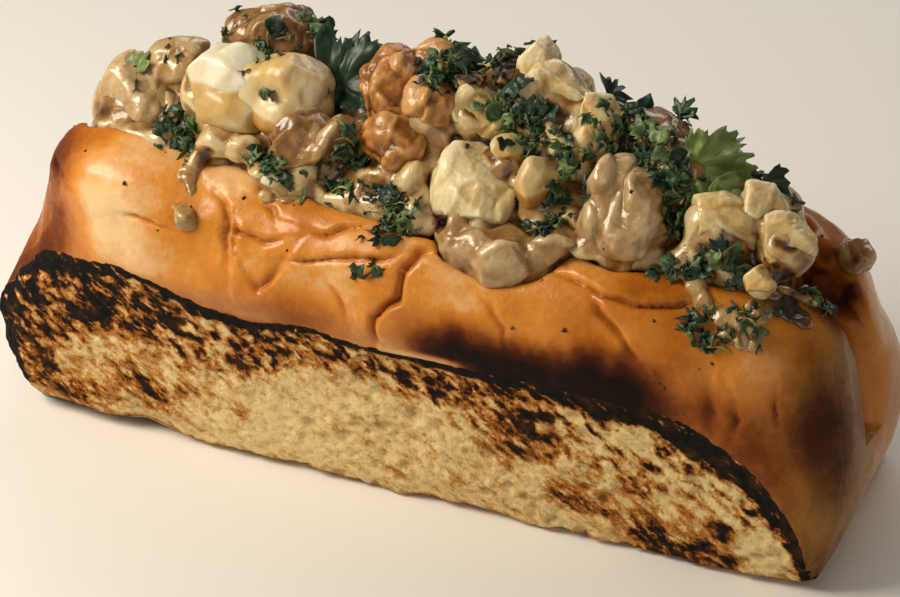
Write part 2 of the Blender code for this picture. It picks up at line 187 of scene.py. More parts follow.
# a copy of a node's mesh with its doubled corners merged
def mergedCopy(node):
    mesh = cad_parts[node].data.copy()
    bm = bmesh.new()
    bm.from_mesh(mesh)
    bmesh.ops.remove_doubles(bm, verts=bm.verts, dist=0.02 * mm)
    bm.to_mesh(mesh)
    bm.free()
    mesh.materials.clear()
    return mesh


# a fine even skin over the mesh, which may be several closed shells
def skinned(obj, voxel):
    modifier = obj.modifiers.new("skin", "REMESH")
    modifier.mode = "VOXEL"
    modifier.voxel_size = voxel
    return settled(obj)


# fewer triangles, taken first where hidden is high
def thinned(obj, triangles, hidden):
    group = obj.vertex_groups.new(name="hidden")
    steps = 10
    for level in range(steps + 1):
        chosen = np.where(np.round(hidden * steps) == level)[0]
        group.add(chosen.tolist(), level / steps, "REPLACE")
    modifier = obj.modifiers.new("thin", "DECIMATE")
    modifier.ratio = triangles / sum(len(p.vertices) - 2 for p in obj.data.polygons)
    modifier.vertex_group = "hidden"
    modifier.vertex_group_factor = 1.0
    settled(obj)
    obj.vertex_groups.clear()
    return obj


def joinedMesh(name, meshes, masks=()):
    verts, faces = [], []
    for mesh in meshes:
        start = len(verts)
        verts += [tuple(v.co) for v in mesh.vertices]
        faces += [[start + i for i in face.vertices] for face in mesh.polygons]
    whole = bpy.data.meshes.new(name)
    whole.from_pydata(verts, [], faces)
    for mask in masks:
        values = [readAll(mesh.attributes[mask].data, "value") for mesh in meshes]
        setMasks(whole, **{mask: np.concatenate(values)})
    return whole


# a rounded lump: middle, half sizes, the way its third axis points, and how blunt it is: 1 a ball, less boxier
def lump(middle, half, way=(0, 0, 1), blunt=1.0):
    bm = bmesh.new()
    bmesh.ops.create_icosphere(bm, subdivisions=3, radius=1)
    for v in bm.verts:
        v.co = [math.copysign(abs(c) ** blunt, c) for c in v.co]
    turn = Vector(way).to_track_quat("Z", "Y").to_matrix().to_4x4()
    move = Matrix.Translation(middle) @ turn @ Matrix.Diagonal((*half, 1))
    bmesh.ops.transform(bm, verts=bm.verts, matrix=move)
    return meshFrom(bm, "lump")


# an sRGB hex colour as linear values
def shade(hexCode):
    levels = [int(hexCode[i:i + 2], 16) / 255 for i in (1, 3, 5)]
    return (*[c / 12.92 if c <= 0.04045 else ((c + 0.055) / 1.055) ** 2.4 for c in levels], 1)


def newMaterial(name):
    material = bpy.data.materials.new(name)
    material.use_nodes = True
    return material, material.node_tree, material.node_tree.nodes["Principled BSDF"]


def setInputs(shader, values):
    for name, value in values.items():
        shader.inputs[name].default_value = value


# adds a node with its settings and links, inputs by order or by name, and gives back one of its outputs
def addNode(tree, kind, inputs=(), output=0, stops=None, **settings):
    made = tree.nodes.new(kind)
    for name, value in settings.items():
        setattr(made, name, value)
    for i, (place, colour) in enumerate(stops or ()):
        elements = made.color_ramp.elements
        element = elements[i] if i < 2 else elements.new(place)
        element.position, element.color = place, shade(colour)
    shown = [socket for socket in made.inputs if socket.enabled]
    pairs = inputs.items() if isinstance(inputs, dict) else enumerate(inputs)
    for key, value in pairs:
        socket = shown[key] if isinstance(key, int) else next(s for s in shown if s.name == key)
        if isinstance(value, bpy.types.NodeSocket):
            tree.links.new(value, socket)
        elif value is not None:
            socket.default_value = value
    return [socket for socket in made.outputs if socket.enabled][output]


bun = {
    "voxel": 0.5 * mm,
    "triangles": 192000,
    "cutHeight": 30 * mm,      # top edge of the cut sides
    "cornerStart": 40 * mm,    # from here to the +X end that edge falls in an arc
    "leftCorner": 64 * mm,     # and from here to the -X end, more squarely
    "halfLength": 74 * mm,
    "leftBulge": 7.4 * mm,     # how far the -X end bulges past that
    "swellDepth": 0.55 * mm,   # relief of the crust, broad to fine
    "dimpleDepth": 0.2 * mm,
    "wrinkleDepth": 0.07 * mm,
    "tearDepth": 0.7 * mm,     # relief of the crumb
    "poreSize": 2.3 * mm,
    "poreDepth": 0.5 * mm,
    "smallPoreDepth": 0.3 * mm,
    "fuzzDepth": 0.18 * mm,
    # crust, least to most baked
    "pale": "#dab785", "golden": "#ca8430", "baked": "#aa6114", "chestnut": "#73380b", "browned": "#431a09",
    "burnt": "#150906",
    # the torn +X end, from pale dough to a dark olive that is painted shade
    "tornPale": "#9a7a38", "tornDark": "#36200b",
    # crumb, fresh to charred
    "crumbFresh": "#dac28a", "crumbPale": "#ccb07a", "crumbGold": "#b27d3c", "crumbBrown": "#985c22",
    "toasted": "#6b3c16", "scorched": "#311b0a", "charred": "#0e0f0e",
    "poreShade": "#6a4420",
    "soakedDark": "#74461f", "soakedPale": "#a8743a",    # where dressing has soaked into the slit
    "shadePlace": (74, -18, 29), "shadeReach": (6, 9, 10),         # painted shade on the +X end: its middle and reach, in mm
    "scrapAndShadePlace": (65, -1, 43), "scrapAndShadeReach": (6.5, 7.5, 6.5),   # burnt scraps in the slit, with painted shade in its pit, in mm
    "mostToast": 1.5,
    "eggWash": 0.5,            # gloss of the golden crust
    "eggWashRough": 0.26,
}

# creases in the crust: points along the fold in mm, half width, depth, how high its lips stand
creases = [
    ([(9, -20, 51), (3, -23, 49), (1, -25, 46), (1, -27, 42), (-3, -28, 38), (-3, -28, 34), (-3, -26, 31)],
     1.1, 2.1, 0.5),
    ([(-18, -22, 49), (-14, -22, 49), (-11, -21, 50), (-7, -20, 51)], 0.7, 1.0, 0.35),
    ([(-21, -25, 44), (-16, -25, 45), (-11, -24, 46), (-6, -24, 47), (0, -23, 49)], 0.7, 0.9, 0.4),
    ([(-36, -20, 51), (-33, -21, 49), (-32, -22, 47), (-32, -24, 44), (-31, -26, 40)], 0.9, 1.3, 0.5),
    ([(-21, -25, 43), (-23, -26, 40), (-25, -27, 38), (-27, -27, 40)], 1.3, 1.0, 0.6),
    ([(-53, -25, 45), (-49, -25, 46), (-45, -24, 45), (-42, -24, 45)], 0.8, 0.7, 0.3),
    ([(26, -20, 50), (30, -21, 50), (34, -22, 49), (41, -22, 48), (47, -21, 49), (51, -19, 50)],
     0.7, 1.2, 0.45),
    ([(33, -23, 49), (36, -24, 46), (38, -25, 45), (41, -26, 43), (44, -27, 40)], 0.9, 0.9, 0.6),
    ([(56, -25, 36), (56, -25, 33), (57, -26, 30)], 1.6, 1.0, 0.4),
    ([(60, -25, 35), (61, -25, 32), (60, -26, 29)], 1.1, 0.9, 0.5),
    ([(66, -22, 37), (66, -22, 34), (67, -23, 31)], 0.6, 0.8, 0.2),
    ([(-28, -19, 51), (-25, -20, 50), (-23, -22, 48)], 0.8, 0.9, 0.4),
    ([(-33, -23, 46), (-28, -23, 46), (-25, -24, 46), (-21, -23, 47)], 0.7, 0.9, 0.4),
    ([(-31, -21, 48), (-30, -23, 46), (-30, -25, 42)], 0.7, 0.8, 0.4),
    ([(-12, -26, 42), (-9, -27, 39), (-8, -28, 36)], 1.0, 0.5, 0.2),
    ([(16, -25, 45), (20, -27, 41), (21, -28, 37)], 1.0, 0.5, 0.2),
    ([(-66, -20, 47), (-69, -14, 47), (-70, -8, 48)], 1.2, 0.7, 0.3),
    ([(74, -12, 30), (75, -4, 27), (75, 4, 29)], 1.2, 0.7, 0.3),
]
# the far lobe has the first sixteen of them turned half round, a little shorter and moved along
creases += [([(-x * 0.96 + 3, -y, z) for x, y, z in line], w, d, lip) for line, w, d, lip in creases[:16]]

# along x, in mm: how the top edge of the cut sides rises and sinks, and how far the mottled toasting and the
# black edge line reach under it
rimWave = ([-78, -65, -53, -45, -37, -28, -18, -8], [0, 3, 4.8, 3, 0.4, -0.9, 1.4, 0])
bandReach = ([-80, -60, -40, -22, -8, 2, 14, 30, 45, 60, 75], [19, 19, 16, 11, 8, 9, 13, 17, 19, 16, 12])
lineReach = ([-80, -62, -45, -30, -20, 5, 25, 42, 52, 62, 75],
             [2.7, 2.3, 1.5, 0.9, 0.5, 0.7, 1.8, 2.8, 4.2, 5.4, 5.6])
# painted sheen: paler places on the crust where a broad reflection falls: x and z in mm, reach
sheenSpots = [(-56, 42, 9), (-53, 48, 8), (-47, 38, 9), (-28, 42, 7), (-16, 40, 6), (13, 42, 6)]
# toasted places on the cut sides: x and z in mm, reach, amount
toastSpots = [
    (-52, 12, 5, 0.5), (-46, 9, 3.5, 0.55), (-40, 13, 3, 0.3), (-65, 6, 6, 0.5), (-71, 12, 5, 0.5),
    (-58, 4, 4, 0.35), (-30, 11, 2.5, 0.3), (-12, 12, 2, 0.25), (20, 16, 4, 0.35), (31, 9, 4, 0.5),
    (37, 8, 3.5, 0.45), (46, 5, 5, 0.6), (50, 2.5, 4.5, 0.6), (42, 15, 3, 0.35), (58, 9, 3, 0.5),
    (56, 4, 3, 0.4), (60, 3, 2.5, 0.4), (66, 7, 4.5, -0.4), (-22, 9, 9, -0.14), (12, 7, 2.5, 0.2),
    (0, 6, 2, 0.2), (26, 21, 5, 0.3), (-76, 8, 4, 0.7),
]


# height of the cut sides' top edge
def cutTop(x):
    right = (x - bun["cornerStart"]) / (bun["halfLength"] - bun["cornerStart"])
    left = (-x - bun["leftCorner"]) / (bun["halfLength"] + bun["leftBulge"] - bun["leftCorner"])
    top = np.full(len(x), bun["cutHeight"])
    top = np.where(right > 0, bun["cutHeight"] * np.sqrt(np.clip(1 - right ** 2, 0, 1)), top)
    top = np.where(left > 0, bun["cutHeight"] * np.sqrt(np.clip(1 - np.clip(left, 0, 1) ** 4, 0, 1)), top)
    return top + np.interp(x / mm, *rimWave) * mm


# how far each point lies from the line, and on which side of it, in mm; it tapers off at the line's ends
def alongLine(co, n, line):
    best, side = np.full(len(co), 1.0), np.zeros(len(co))
    for a, b in zip(line[:-1], line[1:]):
        a, b = np.array(a) * mm, np.array(b) * mm
        t = np.clip((co - a) @ (b - a) / ((b - a) @ (b - a)), 0, 1)
        off = co - a - t[:, None] * (b - a)
        d = np.linalg.norm(off, axis=1)
        turn = np.einsum("ij,ij->i", np.cross(b - a, off), n)
        side = np.where(d < best, np.sign(turn), side)
        best = np.minimum(best, d)
    ends = np.minimum(*[np.linalg.norm(co - np.array(end) * mm, axis=1) for end in (line[0], line[-1])])
    return best / mm * side, ease(-1 * mm, 4 * mm, ends)


# how toasted the cut sides are: 0 fresh crumb, 1 and over burnt
def toastOver(co):
    x, z = co[:, 0], co[:, 2]
    ragged = softNoise(co, 9 * mm, 5, 2) * 1.6 * mm
    below = cutTop(x) - z + ragged
    band = 1 - ease(0.45, 1.15, below / (np.interp(x / mm, *bandReach) * mm))
    line = (below + softNoise(co, 4 * mm, 8, 2) * 1.6 * mm) / (np.interp(x / mm, *lineReach) * mm)
    leftEdge = 1 - ease(1.5 * mm, 5.5 * mm, x + 78.3 * mm + ragged)
    # scorched blobs lie aslant, falling towards +X
    slant = wandered(co, 3 * mm, 0.8 * mm, 15) @ np.array(((0.85, 0, 0.53), (0, 1, 0), (-0.53, 0, 0.85)))
    blob = cellNoise(slant, 1.4 * mm, 17, (2.2, 1, 1))[3] * 0.55
    blob = blob + cellNoise(slant, 0.8 * mm, 18, (2, 1, 1))[3] * 0.45
    reds = 0.5 + 0.16 * ease(-35 * mm, -55 * mm, x) - 0.4 * ease(20 * mm, 40 * mm, x)
    toast = 0.1 + band * (reds + 1.2 * (blob - 0.5)) + 0.2 * (blob - 0.5) + 0.08 * ease(25 * mm, 60 * mm, x)
    toast = np.maximum(toast, (1 - ease(0.6, 1.5, line)) * 1.45)
    toast = np.maximum(toast, leftEdge * 1.3)
    for spotX, spotZ, reach, amount in toastSpots:
        d = np.hypot(x / mm - spotX, (z / mm - spotZ) * 1.25) / reach
        toast = toast + amount * np.exp(-d * d)
    # darker along the foot of the cut sides, the lowest mm or so
    return toast + 0.25 * (1 - ease(0.4 * mm, 1.6 * mm, z))


# how baked the crust is, with painted shade and painted sheen laid in: 0 pale, 1 burnt
def bakeAndShadeOver(co, wander, below, crease, inside, base):
    x, y, z = co.T
    # darker under the overhang, from mid length on, as painted shade, and round both ends
    overhangShade = 1 - ease(3.5 * mm, 13 * mm, -below + softNoise(co, 5 * mm, 141, 3, (1, 1, 2)) * 2.4 * mm)
    along = ease(-1 * mm, 11 * mm, x) * (1 - 0.95 * ease(40 * mm, 52 * mm, x))
    brown = 0.17 + overhangShade * (np.abs(y) > 20 * mm) * (along * 0.93 + (1 - along) * 0.1)
    # painted shade: the crust darkens towards the +X end, away from the light
    brown += 0.13 * ease(20 * mm, 58 * mm, x)
    brown += 0.42 * ease(-60 * mm, -70 * mm, x) - 0.1 * ease(67 * mm, 75 * mm, x) * ease(-16 * mm, 0, y)
    # painted shade darkening the lower +X end of the crust
    brown += 0.42 * np.exp(-np.sum(((co / mm - bun["shadePlace"]) / bun["shadeReach"]) ** 2, axis=1))
    # scraps burnt on to the bottom of the slit, at its +X end, darkened further as painted shade in that pit
    scrapsAndShade = np.exp(-np.sum(((co / mm - bun["scrapAndShadePlace"]) / bun["scrapAndShadeReach"]) ** 4, axis=1)) * (z > 30 * mm)
    brown += scrapsAndShade * (0.34 + 0.62 * ease(-0.15, 0.25, softNoise(wander, 2.8 * mm, 151, 2)))
    # painted sheen: the crust is made paler round each of these spots
    for paleX, paleZ, reach in sheenSpots:
        brown -= 0.15 * np.exp(-(((x / mm - paleX) / reach) ** 2) - ((z / mm - paleZ) / (reach * 0.6)) ** 2)
    # broad random browning, painted shade along the creases, and the browned base
    brown += 0.16 * softNoise(co, 15 * mm, 121, 2) + crease * 0.22 + base * 0.6
    brown += inside * 0.06
    # a tan lip is left under the main crease
    tanLip = np.exp(-(((x / mm - 5) / 8) ** 4)) * (1 - ease(1.2 * mm, 3.2 * mm, -below)) * (y < 0)
    brown = brown * (1 - tanLip) + 0.05 * tanLip
    return brown + 0.08 * ease(-0.2, 0.5, softNoise(co, 22 * mm, 131))


def makeBun():
    obj = skinned(newPiece("splitTopBun", mergedCopy("bun")), bun["voxel"])
    mesh, co, ends = opened(obj)
    start = co.copy()
    # the crust loses its facets, and the rim between crust and crumb keeps most of its edge
    nearRim = (np.abs(cutTop(co[:, 0]) - co[:, 2]) < 2.5 * mm) & (np.abs(co[:, 1]) > 22 * mm)
    co = relaxed(co, ends, 14, np.where(nearRim, 0.12, 0.5))
    co[:, 2] = np.where(start[:, 2] < 0.3 * mm, start[:, 2], co[:, 2])
    placePoints(mesh, co)
    n = meshNormals(mesh)
    x, y, z = co.T
    side = np.abs(y)
    below = cutTop(x) - z
    inSlit = (side < 19 * mm) & (z > 16 * mm) & (np.sign(y) * n[:, 1] < 0.25) & (n[:, 2] < 0.93)
    inSlit &= ~((n[:, 2] > 0.35) & (z > 40 * mm))
    cutFace = relaxed(((below > -0.8 * mm) & (side > 22 * mm)).astype(float), ends, 2)
    inside = relaxed(inSlit.astype(float), ends, 3)
    base = (z < 0.8 * mm) & (n[:, 2] < -0.5)
    crumb = np.clip(cutFace + inside * (1 - ease(46 * mm, 54 * mm, x)), 0, 1)
    crust = 1 - crumb

    # crust: soft swells, creases and fine wrinkling across the run of the dough
    swell = softNoise(co, 13 * mm, 21, 2) * bun["swellDepth"]
    dimple = softNoise(co, 5.5 * mm, 31, 2, (1.6, 1, 1)) * bun["dimpleDepth"]
    wrinkle = softNoise(co, 1.6 * mm, 41, 2, (1.8, 1, 0.8)) * bun["wrinkleDepth"]
    shift = (swell + dimple + wrinkle) * crust * (z > 1.5 * mm)
    wander = wandered(co, 3 * mm, 0.5 * mm, 51)
    skin = BVHTree.FromObject(obj, bpy.context.evaluated_depsgraph_get())
    crease = np.zeros(len(co))
    for line, width, depth, lip in creases:
        line = [skin.find_nearest(Vector(point) * mm)[0] / mm for point in line]
        s, taper = alongLine(wander, n, line)
        groove = np.exp(-((s + 0.3) / (0.62 * width)) ** 2) * taper
        raised = ease(-0.15, 0.85, s) * np.exp(-np.clip(s, 0, None) / (2.6 + width)) * taper
        shift += (raised * lip * 1.5 - groove * depth * 0.75) * mm * crust
        crease = np.maximum(crease, groove)
    moved = co + n * shift[:, None]

    # crumb: torn, porous, with strands left between the holes
    toast = toastOver(co) * cutFace + inside * (0.24 + 0.35 * softNoise(co, 5 * mm, 55, 3, (1.6, 1, 1)))
    tear = softNoise(co, 7 * mm, 61, 3, (1.4, 1, 1)) * bun["tearDepth"]
    near = cellNoise(co, bun["poreSize"], 71, (1.5, 1, 1))[0]
    hole = (1 - ease(0.18, 0.55, near)) * ease(-0.1, 0.5, softNoise(co, 6 * mm, 73, 1, (1.5, 1, 1)))
    nearSmall = cellNoise(co, bun["poreSize"] * 0.5, 81, (1.4, 1, 1))[0]
    pit = 1 - ease(0.15, 0.5, nearSmall)
    fuzz = softNoise(co, 0.9 * mm, 91, 2) * bun["fuzzDepth"]
    dig = np.minimum(tear - hole * bun["poreDepth"] - pit * bun["smallPoreDepth"] + fuzz, 0.45 * mm)
    moved = moved + n * (dig * (cutFace + inside * 0.4))[:, None]

    # foot: the cut sides' lower edge is ragged, and lifted towards the -X end
    edge = ease(19 * mm, 25 * mm, side) * (1 - ease(0.5 * mm, 7 * mm, z))
    lift = (softNoise(co, 8 * mm, 101, 3) + 0.7) * mm + 1.8 * mm * ease(-38 * mm, -52 * mm, x)
    lift = np.clip(lift, 0, None)
    moved[:, 2] += lift * edge
    moved[:, 1] -= np.sign(y) * edge * (softNoise(co, 5 * mm, 111, 2) * 0.5 + 0.5) * 0.9 * mm
    moved = np.where((base & (side < 20 * mm))[:, None], start, moved)
    placePoints(mesh, moved)

    # the +X end was torn from its neighbour in the tin, so its dough is dull there; its darker olive is
    # painted shade
    ragged = softNoise(co, 6 * mm, 161, 2) * 5 * mm
    dullAndShaded = 0.65 * ease(60 * mm, 75 * mm, x + ragged) * ease(4 * mm, -6 * mm, y)
    setMasks(mesh, crumb=crumb, toast=toast / bun["mostToast"], hole=(hole * 0.8 + pit * 0.4) * crumb,
             wet=inside * ease(30 * mm, 38 * mm, z), brown=bakeAndShadeOver(co, wander, below, crease, inside, base),
             torn=dullAndShaded * ease(46 * mm, 40 * mm, z))
    hidden = np.where((inSlit & (z < 40 * mm)) | base, 1.0, np.where(crumb > 0.5, 0.25, 0.45))
    return thinned(obj, bun["triangles"], relaxed(hidden, ends, 2))


def bunMaterial():
    # egg washed enriched dough, baked then griddled: satin golden crust, matt porous crumb, dry black char
    material, tree, shader = newMaterial("bakedBunCrust")
    place = addNode(tree, "ShaderNodeTexCoord", output=3)
    crumb, toast, brown, hole, wet, torn = (
        addNode(tree, "ShaderNodeAttribute", attribute_name=name, output=2)
        for name in ("crumb", "toast", "brown", "hole", "wet", "torn"))
    # the griddle's streaks lie aslant, falling towards +X
    slanted = addNode(tree, "ShaderNodeMapping", {
        "Vector": place, "Rotation": (0, 0.56, 0), "Scale": (1.9, 1, 0.85)}, vector_type="TEXTURE")
    broad, fleck, streak, fine = (
        addNode(tree, "ShaderNodeTexNoise", {
            "Vector": vector, "Scale": 1 / (size * mm), "Detail": detail, "Roughness": 0.62})
        for size, detail, vector in ((14, 3, place), (1.3, 4, place), (1.7, 4, slanted), (0.5, 3, place)))

    tone = addNode(tree, "ShaderNodeMath", [broad, 0.5, brown], operation="MULTIPLY_ADD")
    tone = addNode(tree, "ShaderNodeMath", [fleck, 0.16, tone], operation="MULTIPLY_ADD")
    tone = addNode(tree, "ShaderNodeMath", [tone, 0.33], operation="SUBTRACT")
    crust = addNode(tree, "ShaderNodeValToRGB", [tone], stops=[
        (0.0, bun["pale"]), (1.0, bun["burnt"]), (0.17, bun["golden"]), (0.36, bun["baked"]),
        (0.55, bun["chestnut"]), (0.75, bun["browned"])])
    # the torn +X end: dull dough, darkened to olive as painted shade
    dullAndShaded = addNode(tree, "ShaderNodeValToRGB", [tone], stops=[
        (0.05, bun["tornPale"]), (0.6, bun["tornDark"])])
    crust = addNode(tree, "ShaderNodeMix", [torn, crust, dullAndShaded], data_type="RGBA")

    heat = addNode(tree, "ShaderNodeMath", [toast, bun["mostToast"], -0.25], operation="MULTIPLY_ADD")
    sway = addNode(tree, "ShaderNodeMath", [toast, 5.0, 0.7], operation="MULTIPLY_ADD")
    streaky = addNode(tree, "ShaderNodeMath", [streak, 0.5], operation="SUBTRACT")
    heat = addNode(tree, "ShaderNodeMath", [streaky, sway, heat], operation="MULTIPLY_ADD")
    heat = addNode(tree, "ShaderNodeMath", [fine, 0.5, heat], operation="MULTIPLY_ADD")
    flesh = addNode(tree, "ShaderNodeValToRGB", [heat], stops=[
        (0.0, bun["crumbFresh"]), (0.88, bun["charred"]), (0.16, bun["crumbPale"]), (0.34, bun["crumbGold"]),
        (0.5, bun["crumbBrown"]), (0.62, bun["toasted"]), (0.75, bun["scorched"])])
    sunk = addNode(tree, "ShaderNodeMath", [hole, 0.32], operation="MULTIPLY")
    flesh = addNode(tree, "ShaderNodeMix", [sunk, flesh, shade(bun["poreShade"])], data_type="RGBA")
    soaked = addNode(tree, "ShaderNodeValToRGB", [broad], stops=[
        (0.3, bun["soakedDark"]), (0.65, bun["soakedPale"])])
    flesh = addNode(tree, "ShaderNodeMix", [wet, flesh, soaked], data_type="RGBA")

    isCrumb = addNode(tree, "ShaderNodeMath", [streak, 0.35, crumb], operation="MULTIPLY_ADD")
    isCrumb = addNode(tree, "ShaderNodeMapRange", {"Value": isCrumb, "From Min": 0.6, "From Max": 0.75})
    colour = addNode(tree, "ShaderNodeMix", [isCrumb, crust, flesh], data_type="RGBA")
    tree.links.new(colour, shader.inputs["Base Color"])

    satin = addNode(tree, "ShaderNodeMath", [fleck, 0.3, 0.18], operation="MULTIPLY_ADD")
    scorched = addNode(tree, "ShaderNodeMapRange", {
        "Value": tone, "From Min": 0.4, "From Max": 0.8, "To Max": 0.5})
    satin = addNode(tree, "ShaderNodeMath", [satin, scorched], operation="ADD")
    dry = addNode(tree, "ShaderNodeMath", [wet, -0.5, 0.86], operation="MULTIPLY_ADD")
    rough = addNode(tree, "ShaderNodeMix", [isCrumb, satin, dry], data_type="FLOAT")
    tree.links.new(rough, shader.inputs["Roughness"])
    height = addNode(tree, "ShaderNodeMath", [fine, 0.6, fleck], operation="MULTIPLY_ADD")
    depth = addNode(tree, "ShaderNodeMix", [isCrumb, 0.42, 1.0], data_type="FLOAT")
    height = addNode(tree, "ShaderNodeMath", [height, depth], operation="MULTIPLY")
    bump = addNode(tree, "ShaderNodeBump", {"Height": height, "Distance": 0.35 * mm, "Strength": 0.9})
    tree.links.new(bump, shader.inputs["Normal"])
    # the egg wash shines where it is golden, and has burnt away where it is dark
    washed = addNode(tree, "ShaderNodeMapRange", {
        "Value": tone, "From Min": 0.3, "From Max": 0.52, "To Min": bun["eggWash"], "To Max": 0.0})
    for bare in (isCrumb, torn):
        washed = addNode(tree, "ShaderNodeMix", [bare, washed, 0.0], data_type="FLOAT")
    tree.links.new(washed, shader.inputs["Coat Weight"])
    setInputs(shader, {
        "Coat Roughness": bun["eggWashRough"], "Coat IOR": 1.45, "IOR": 1.45, "Specular IOR Level": 0.18})
    return material


bunPiece = makeBun()
bunTree = BVHTree.FromObject(bunPiece, bpy.context.evaluated_depsgraph_get())
print("bun:", len(bunPiece.data.polygons), "faces")

# each kind of meat, in mm: how many rounded lobes it is grown from and their size, broken faces and how deep,
# its inner pieces and their steps, the seams between them, fibres, soft unevenness, dimples and fuzz,
# and how many times it is smoothed before and after it breaks
meatKinds = {
    "white": {"slot": "meat_white", "lobes": (0, 0), "breaks": (9, 0.2), "part": 6.5, "step": 0.5,
              "seam": 0, "fibre": 1.2, "fibreDepth": 0.06, "swell": 0.5, "dimple": 0.06, "fuzz": 0.005,
              "relax": 14, "soften": 7},
    "cream": {"slot": "meat_cream", "lobes": (0, 0), "breaks": (9, 0.26), "part": 5, "step": 0.9,
              "seam": 0.06, "fibre": 0.5, "fibreDepth": 0.09, "swell": 0.3, "dimple": 0.08, "fuzz": 0.02,
              "relax": 5, "soften": 0},
    "roasted": {"slot": "meat_roasted", "lobes": (6, 0.4), "breaks": (7, 0.18), "part": 3.8, "step": 1.6,
                "seam": 0.1, "fibre": 1, "fibreDepth": 0.08, "swell": 0.5, "dimple": 0.16, "fuzz": 0.02,
                "relax": 6, "soften": 3},
    "coated": {"slot": "meat_coated", "lobes": (4, 0.5), "breaks": (7, 0.18), "part": 4.6, "step": 1.1,
               "seam": 0, "fibre": 2, "fibreDepth": 0.16, "swell": 0.4, "dimple": 0.16, "fuzz": 0.01,
               "relax": 8, "soften": 3},
    "charred": {"slot": "meat_charred", "lobes": (2, 0.5), "breaks": (7, 0.2), "part": 2.4, "step": 1.2,
                "seam": 0.5, "fibre": 0.8, "fibreDepth": 0.2, "swell": 0.6, "dimple": 0.1, "fuzz": 0.25,
                "relax": 3, "soften": 0},
}
meatShape = {
    "finest": 0.24 * mm, "coarsest": 0.32 * mm, "steps": 33,    # voxel size, and how many a half size takes
    "lobeOut": 0.62, "lobeBlunt": 0.85, "foldBlunt": 0.72,
    "fullSize": 9 * mm,        # smaller pieces have smaller steps
    "proud": 0.15,             # how far the whole skin stands out, in mm
}
# each piece: its kind, how light it is among its kind, 0 to 1, and the run of its fibres
meatPieces = {
    # tail_second is set darker both for its tan and as painted shade
    "tail_white": ("white", 0.66, (0.2, 0.4, 0.9)), "tail_second": ("white", 0.42, (0.1, 0.4, 0.9)),
    "tail_lower": ("white", 0.6, (1, 0.2, 0.2)), "segment_pale": ("white", 0.35, (0.5, 0.3, 0.8)),
    "segment_second": ("white", 0.42, (0.3, 0.3, 0.9)), "back_tail": ("white", 0.5, (0.2, -0.4, 0.9)),
    "back_segment": ("white", 0.5, (0.5, -0.3, 0.8)), "tail_crown": ("coated", 0.2, (0.2, 0.4, 0.8)),
    "end_piece": ("coated", 0.64, (0.1, 0.4, 0.9)), "end_crown": ("coated", 0.5, (0.1, 0.4, 0.9)),
    "folded_piece": ("coated", 0.3, (0.5, 0.3, 0.8)), "coated_long": ("coated", 0.5, (0.15, 0.4, 0.9)),
    "coated_front": ("coated", 0.46, (1, 0.1, 0.2)), "behind_leaf": ("coated", 0.36, (0.1, 0.4, 0.9)),
    "back_brown": ("coated", 0.12, (1, 0, 0.2)), "back_lump": ("coated", 0.34, (1, 0, 0.3)),
    "lip_morsel": ("coated", 0.3, (0, 0.5, 0.8)), "back_coated": ("coated", 0.5, (0.6, 0.3, 0.6)),
    "flake_large": ("cream", 0.62, (0.25, 0.35, 0.9)), "flake_upper": ("cream", 0.52, (0.3, 0.4, 0.85)),
    "flake_crown": ("cream", 0.54, (-0.35, 0.35, 0.85)), "flake_right": ("cream", 0.46, (-0.2, 0.35, 0.9)),
    "flake_wedge": ("cream", 0.4, (0.9, 0.2, 0.35)), "flake_tip": ("cream", 0.58, (0.2, 0.4, 0.9)),
    "knuckle_left": ("cream", 0.54, (0.6, 0.3, -0.6)), "knuckle_top": ("cream", 0.52, (0.2, 0.3, 0.9)),
    "knuckle_right": ("cream", 0.5, (0.5, 0.3, 0.7)), "morsel": ("cream", 0.4, (0.6, 0.2, 0.7)),
    "back_flake": ("cream", 0.5, (0.3, -0.35, 0.9)), "back_knuckle": ("cream", 0.5, (0.6, 0.3, -0.6)),
    "back_end": ("cream", 0.5, (0.2, -0.3, 0.9)), "roasted_upper": ("roasted", 0.55, (0.4, 0.4, 0.8)),
    "roasted_crown": ("roasted", 0.62, (0.9, 0.2, 0.3)), "roasted_middle": ("roasted", 0.7, (0.2, 0.4, 0.9)),
    "roasted_lower": ("roasted", 0.52, (0.5, 0.4, 0.7)), "charred_upper": ("charred", 0.5, (1, 0.1, 0.1)),
    "charred_lower": ("charred", 0.5, (1, 0.1, 0)),
}
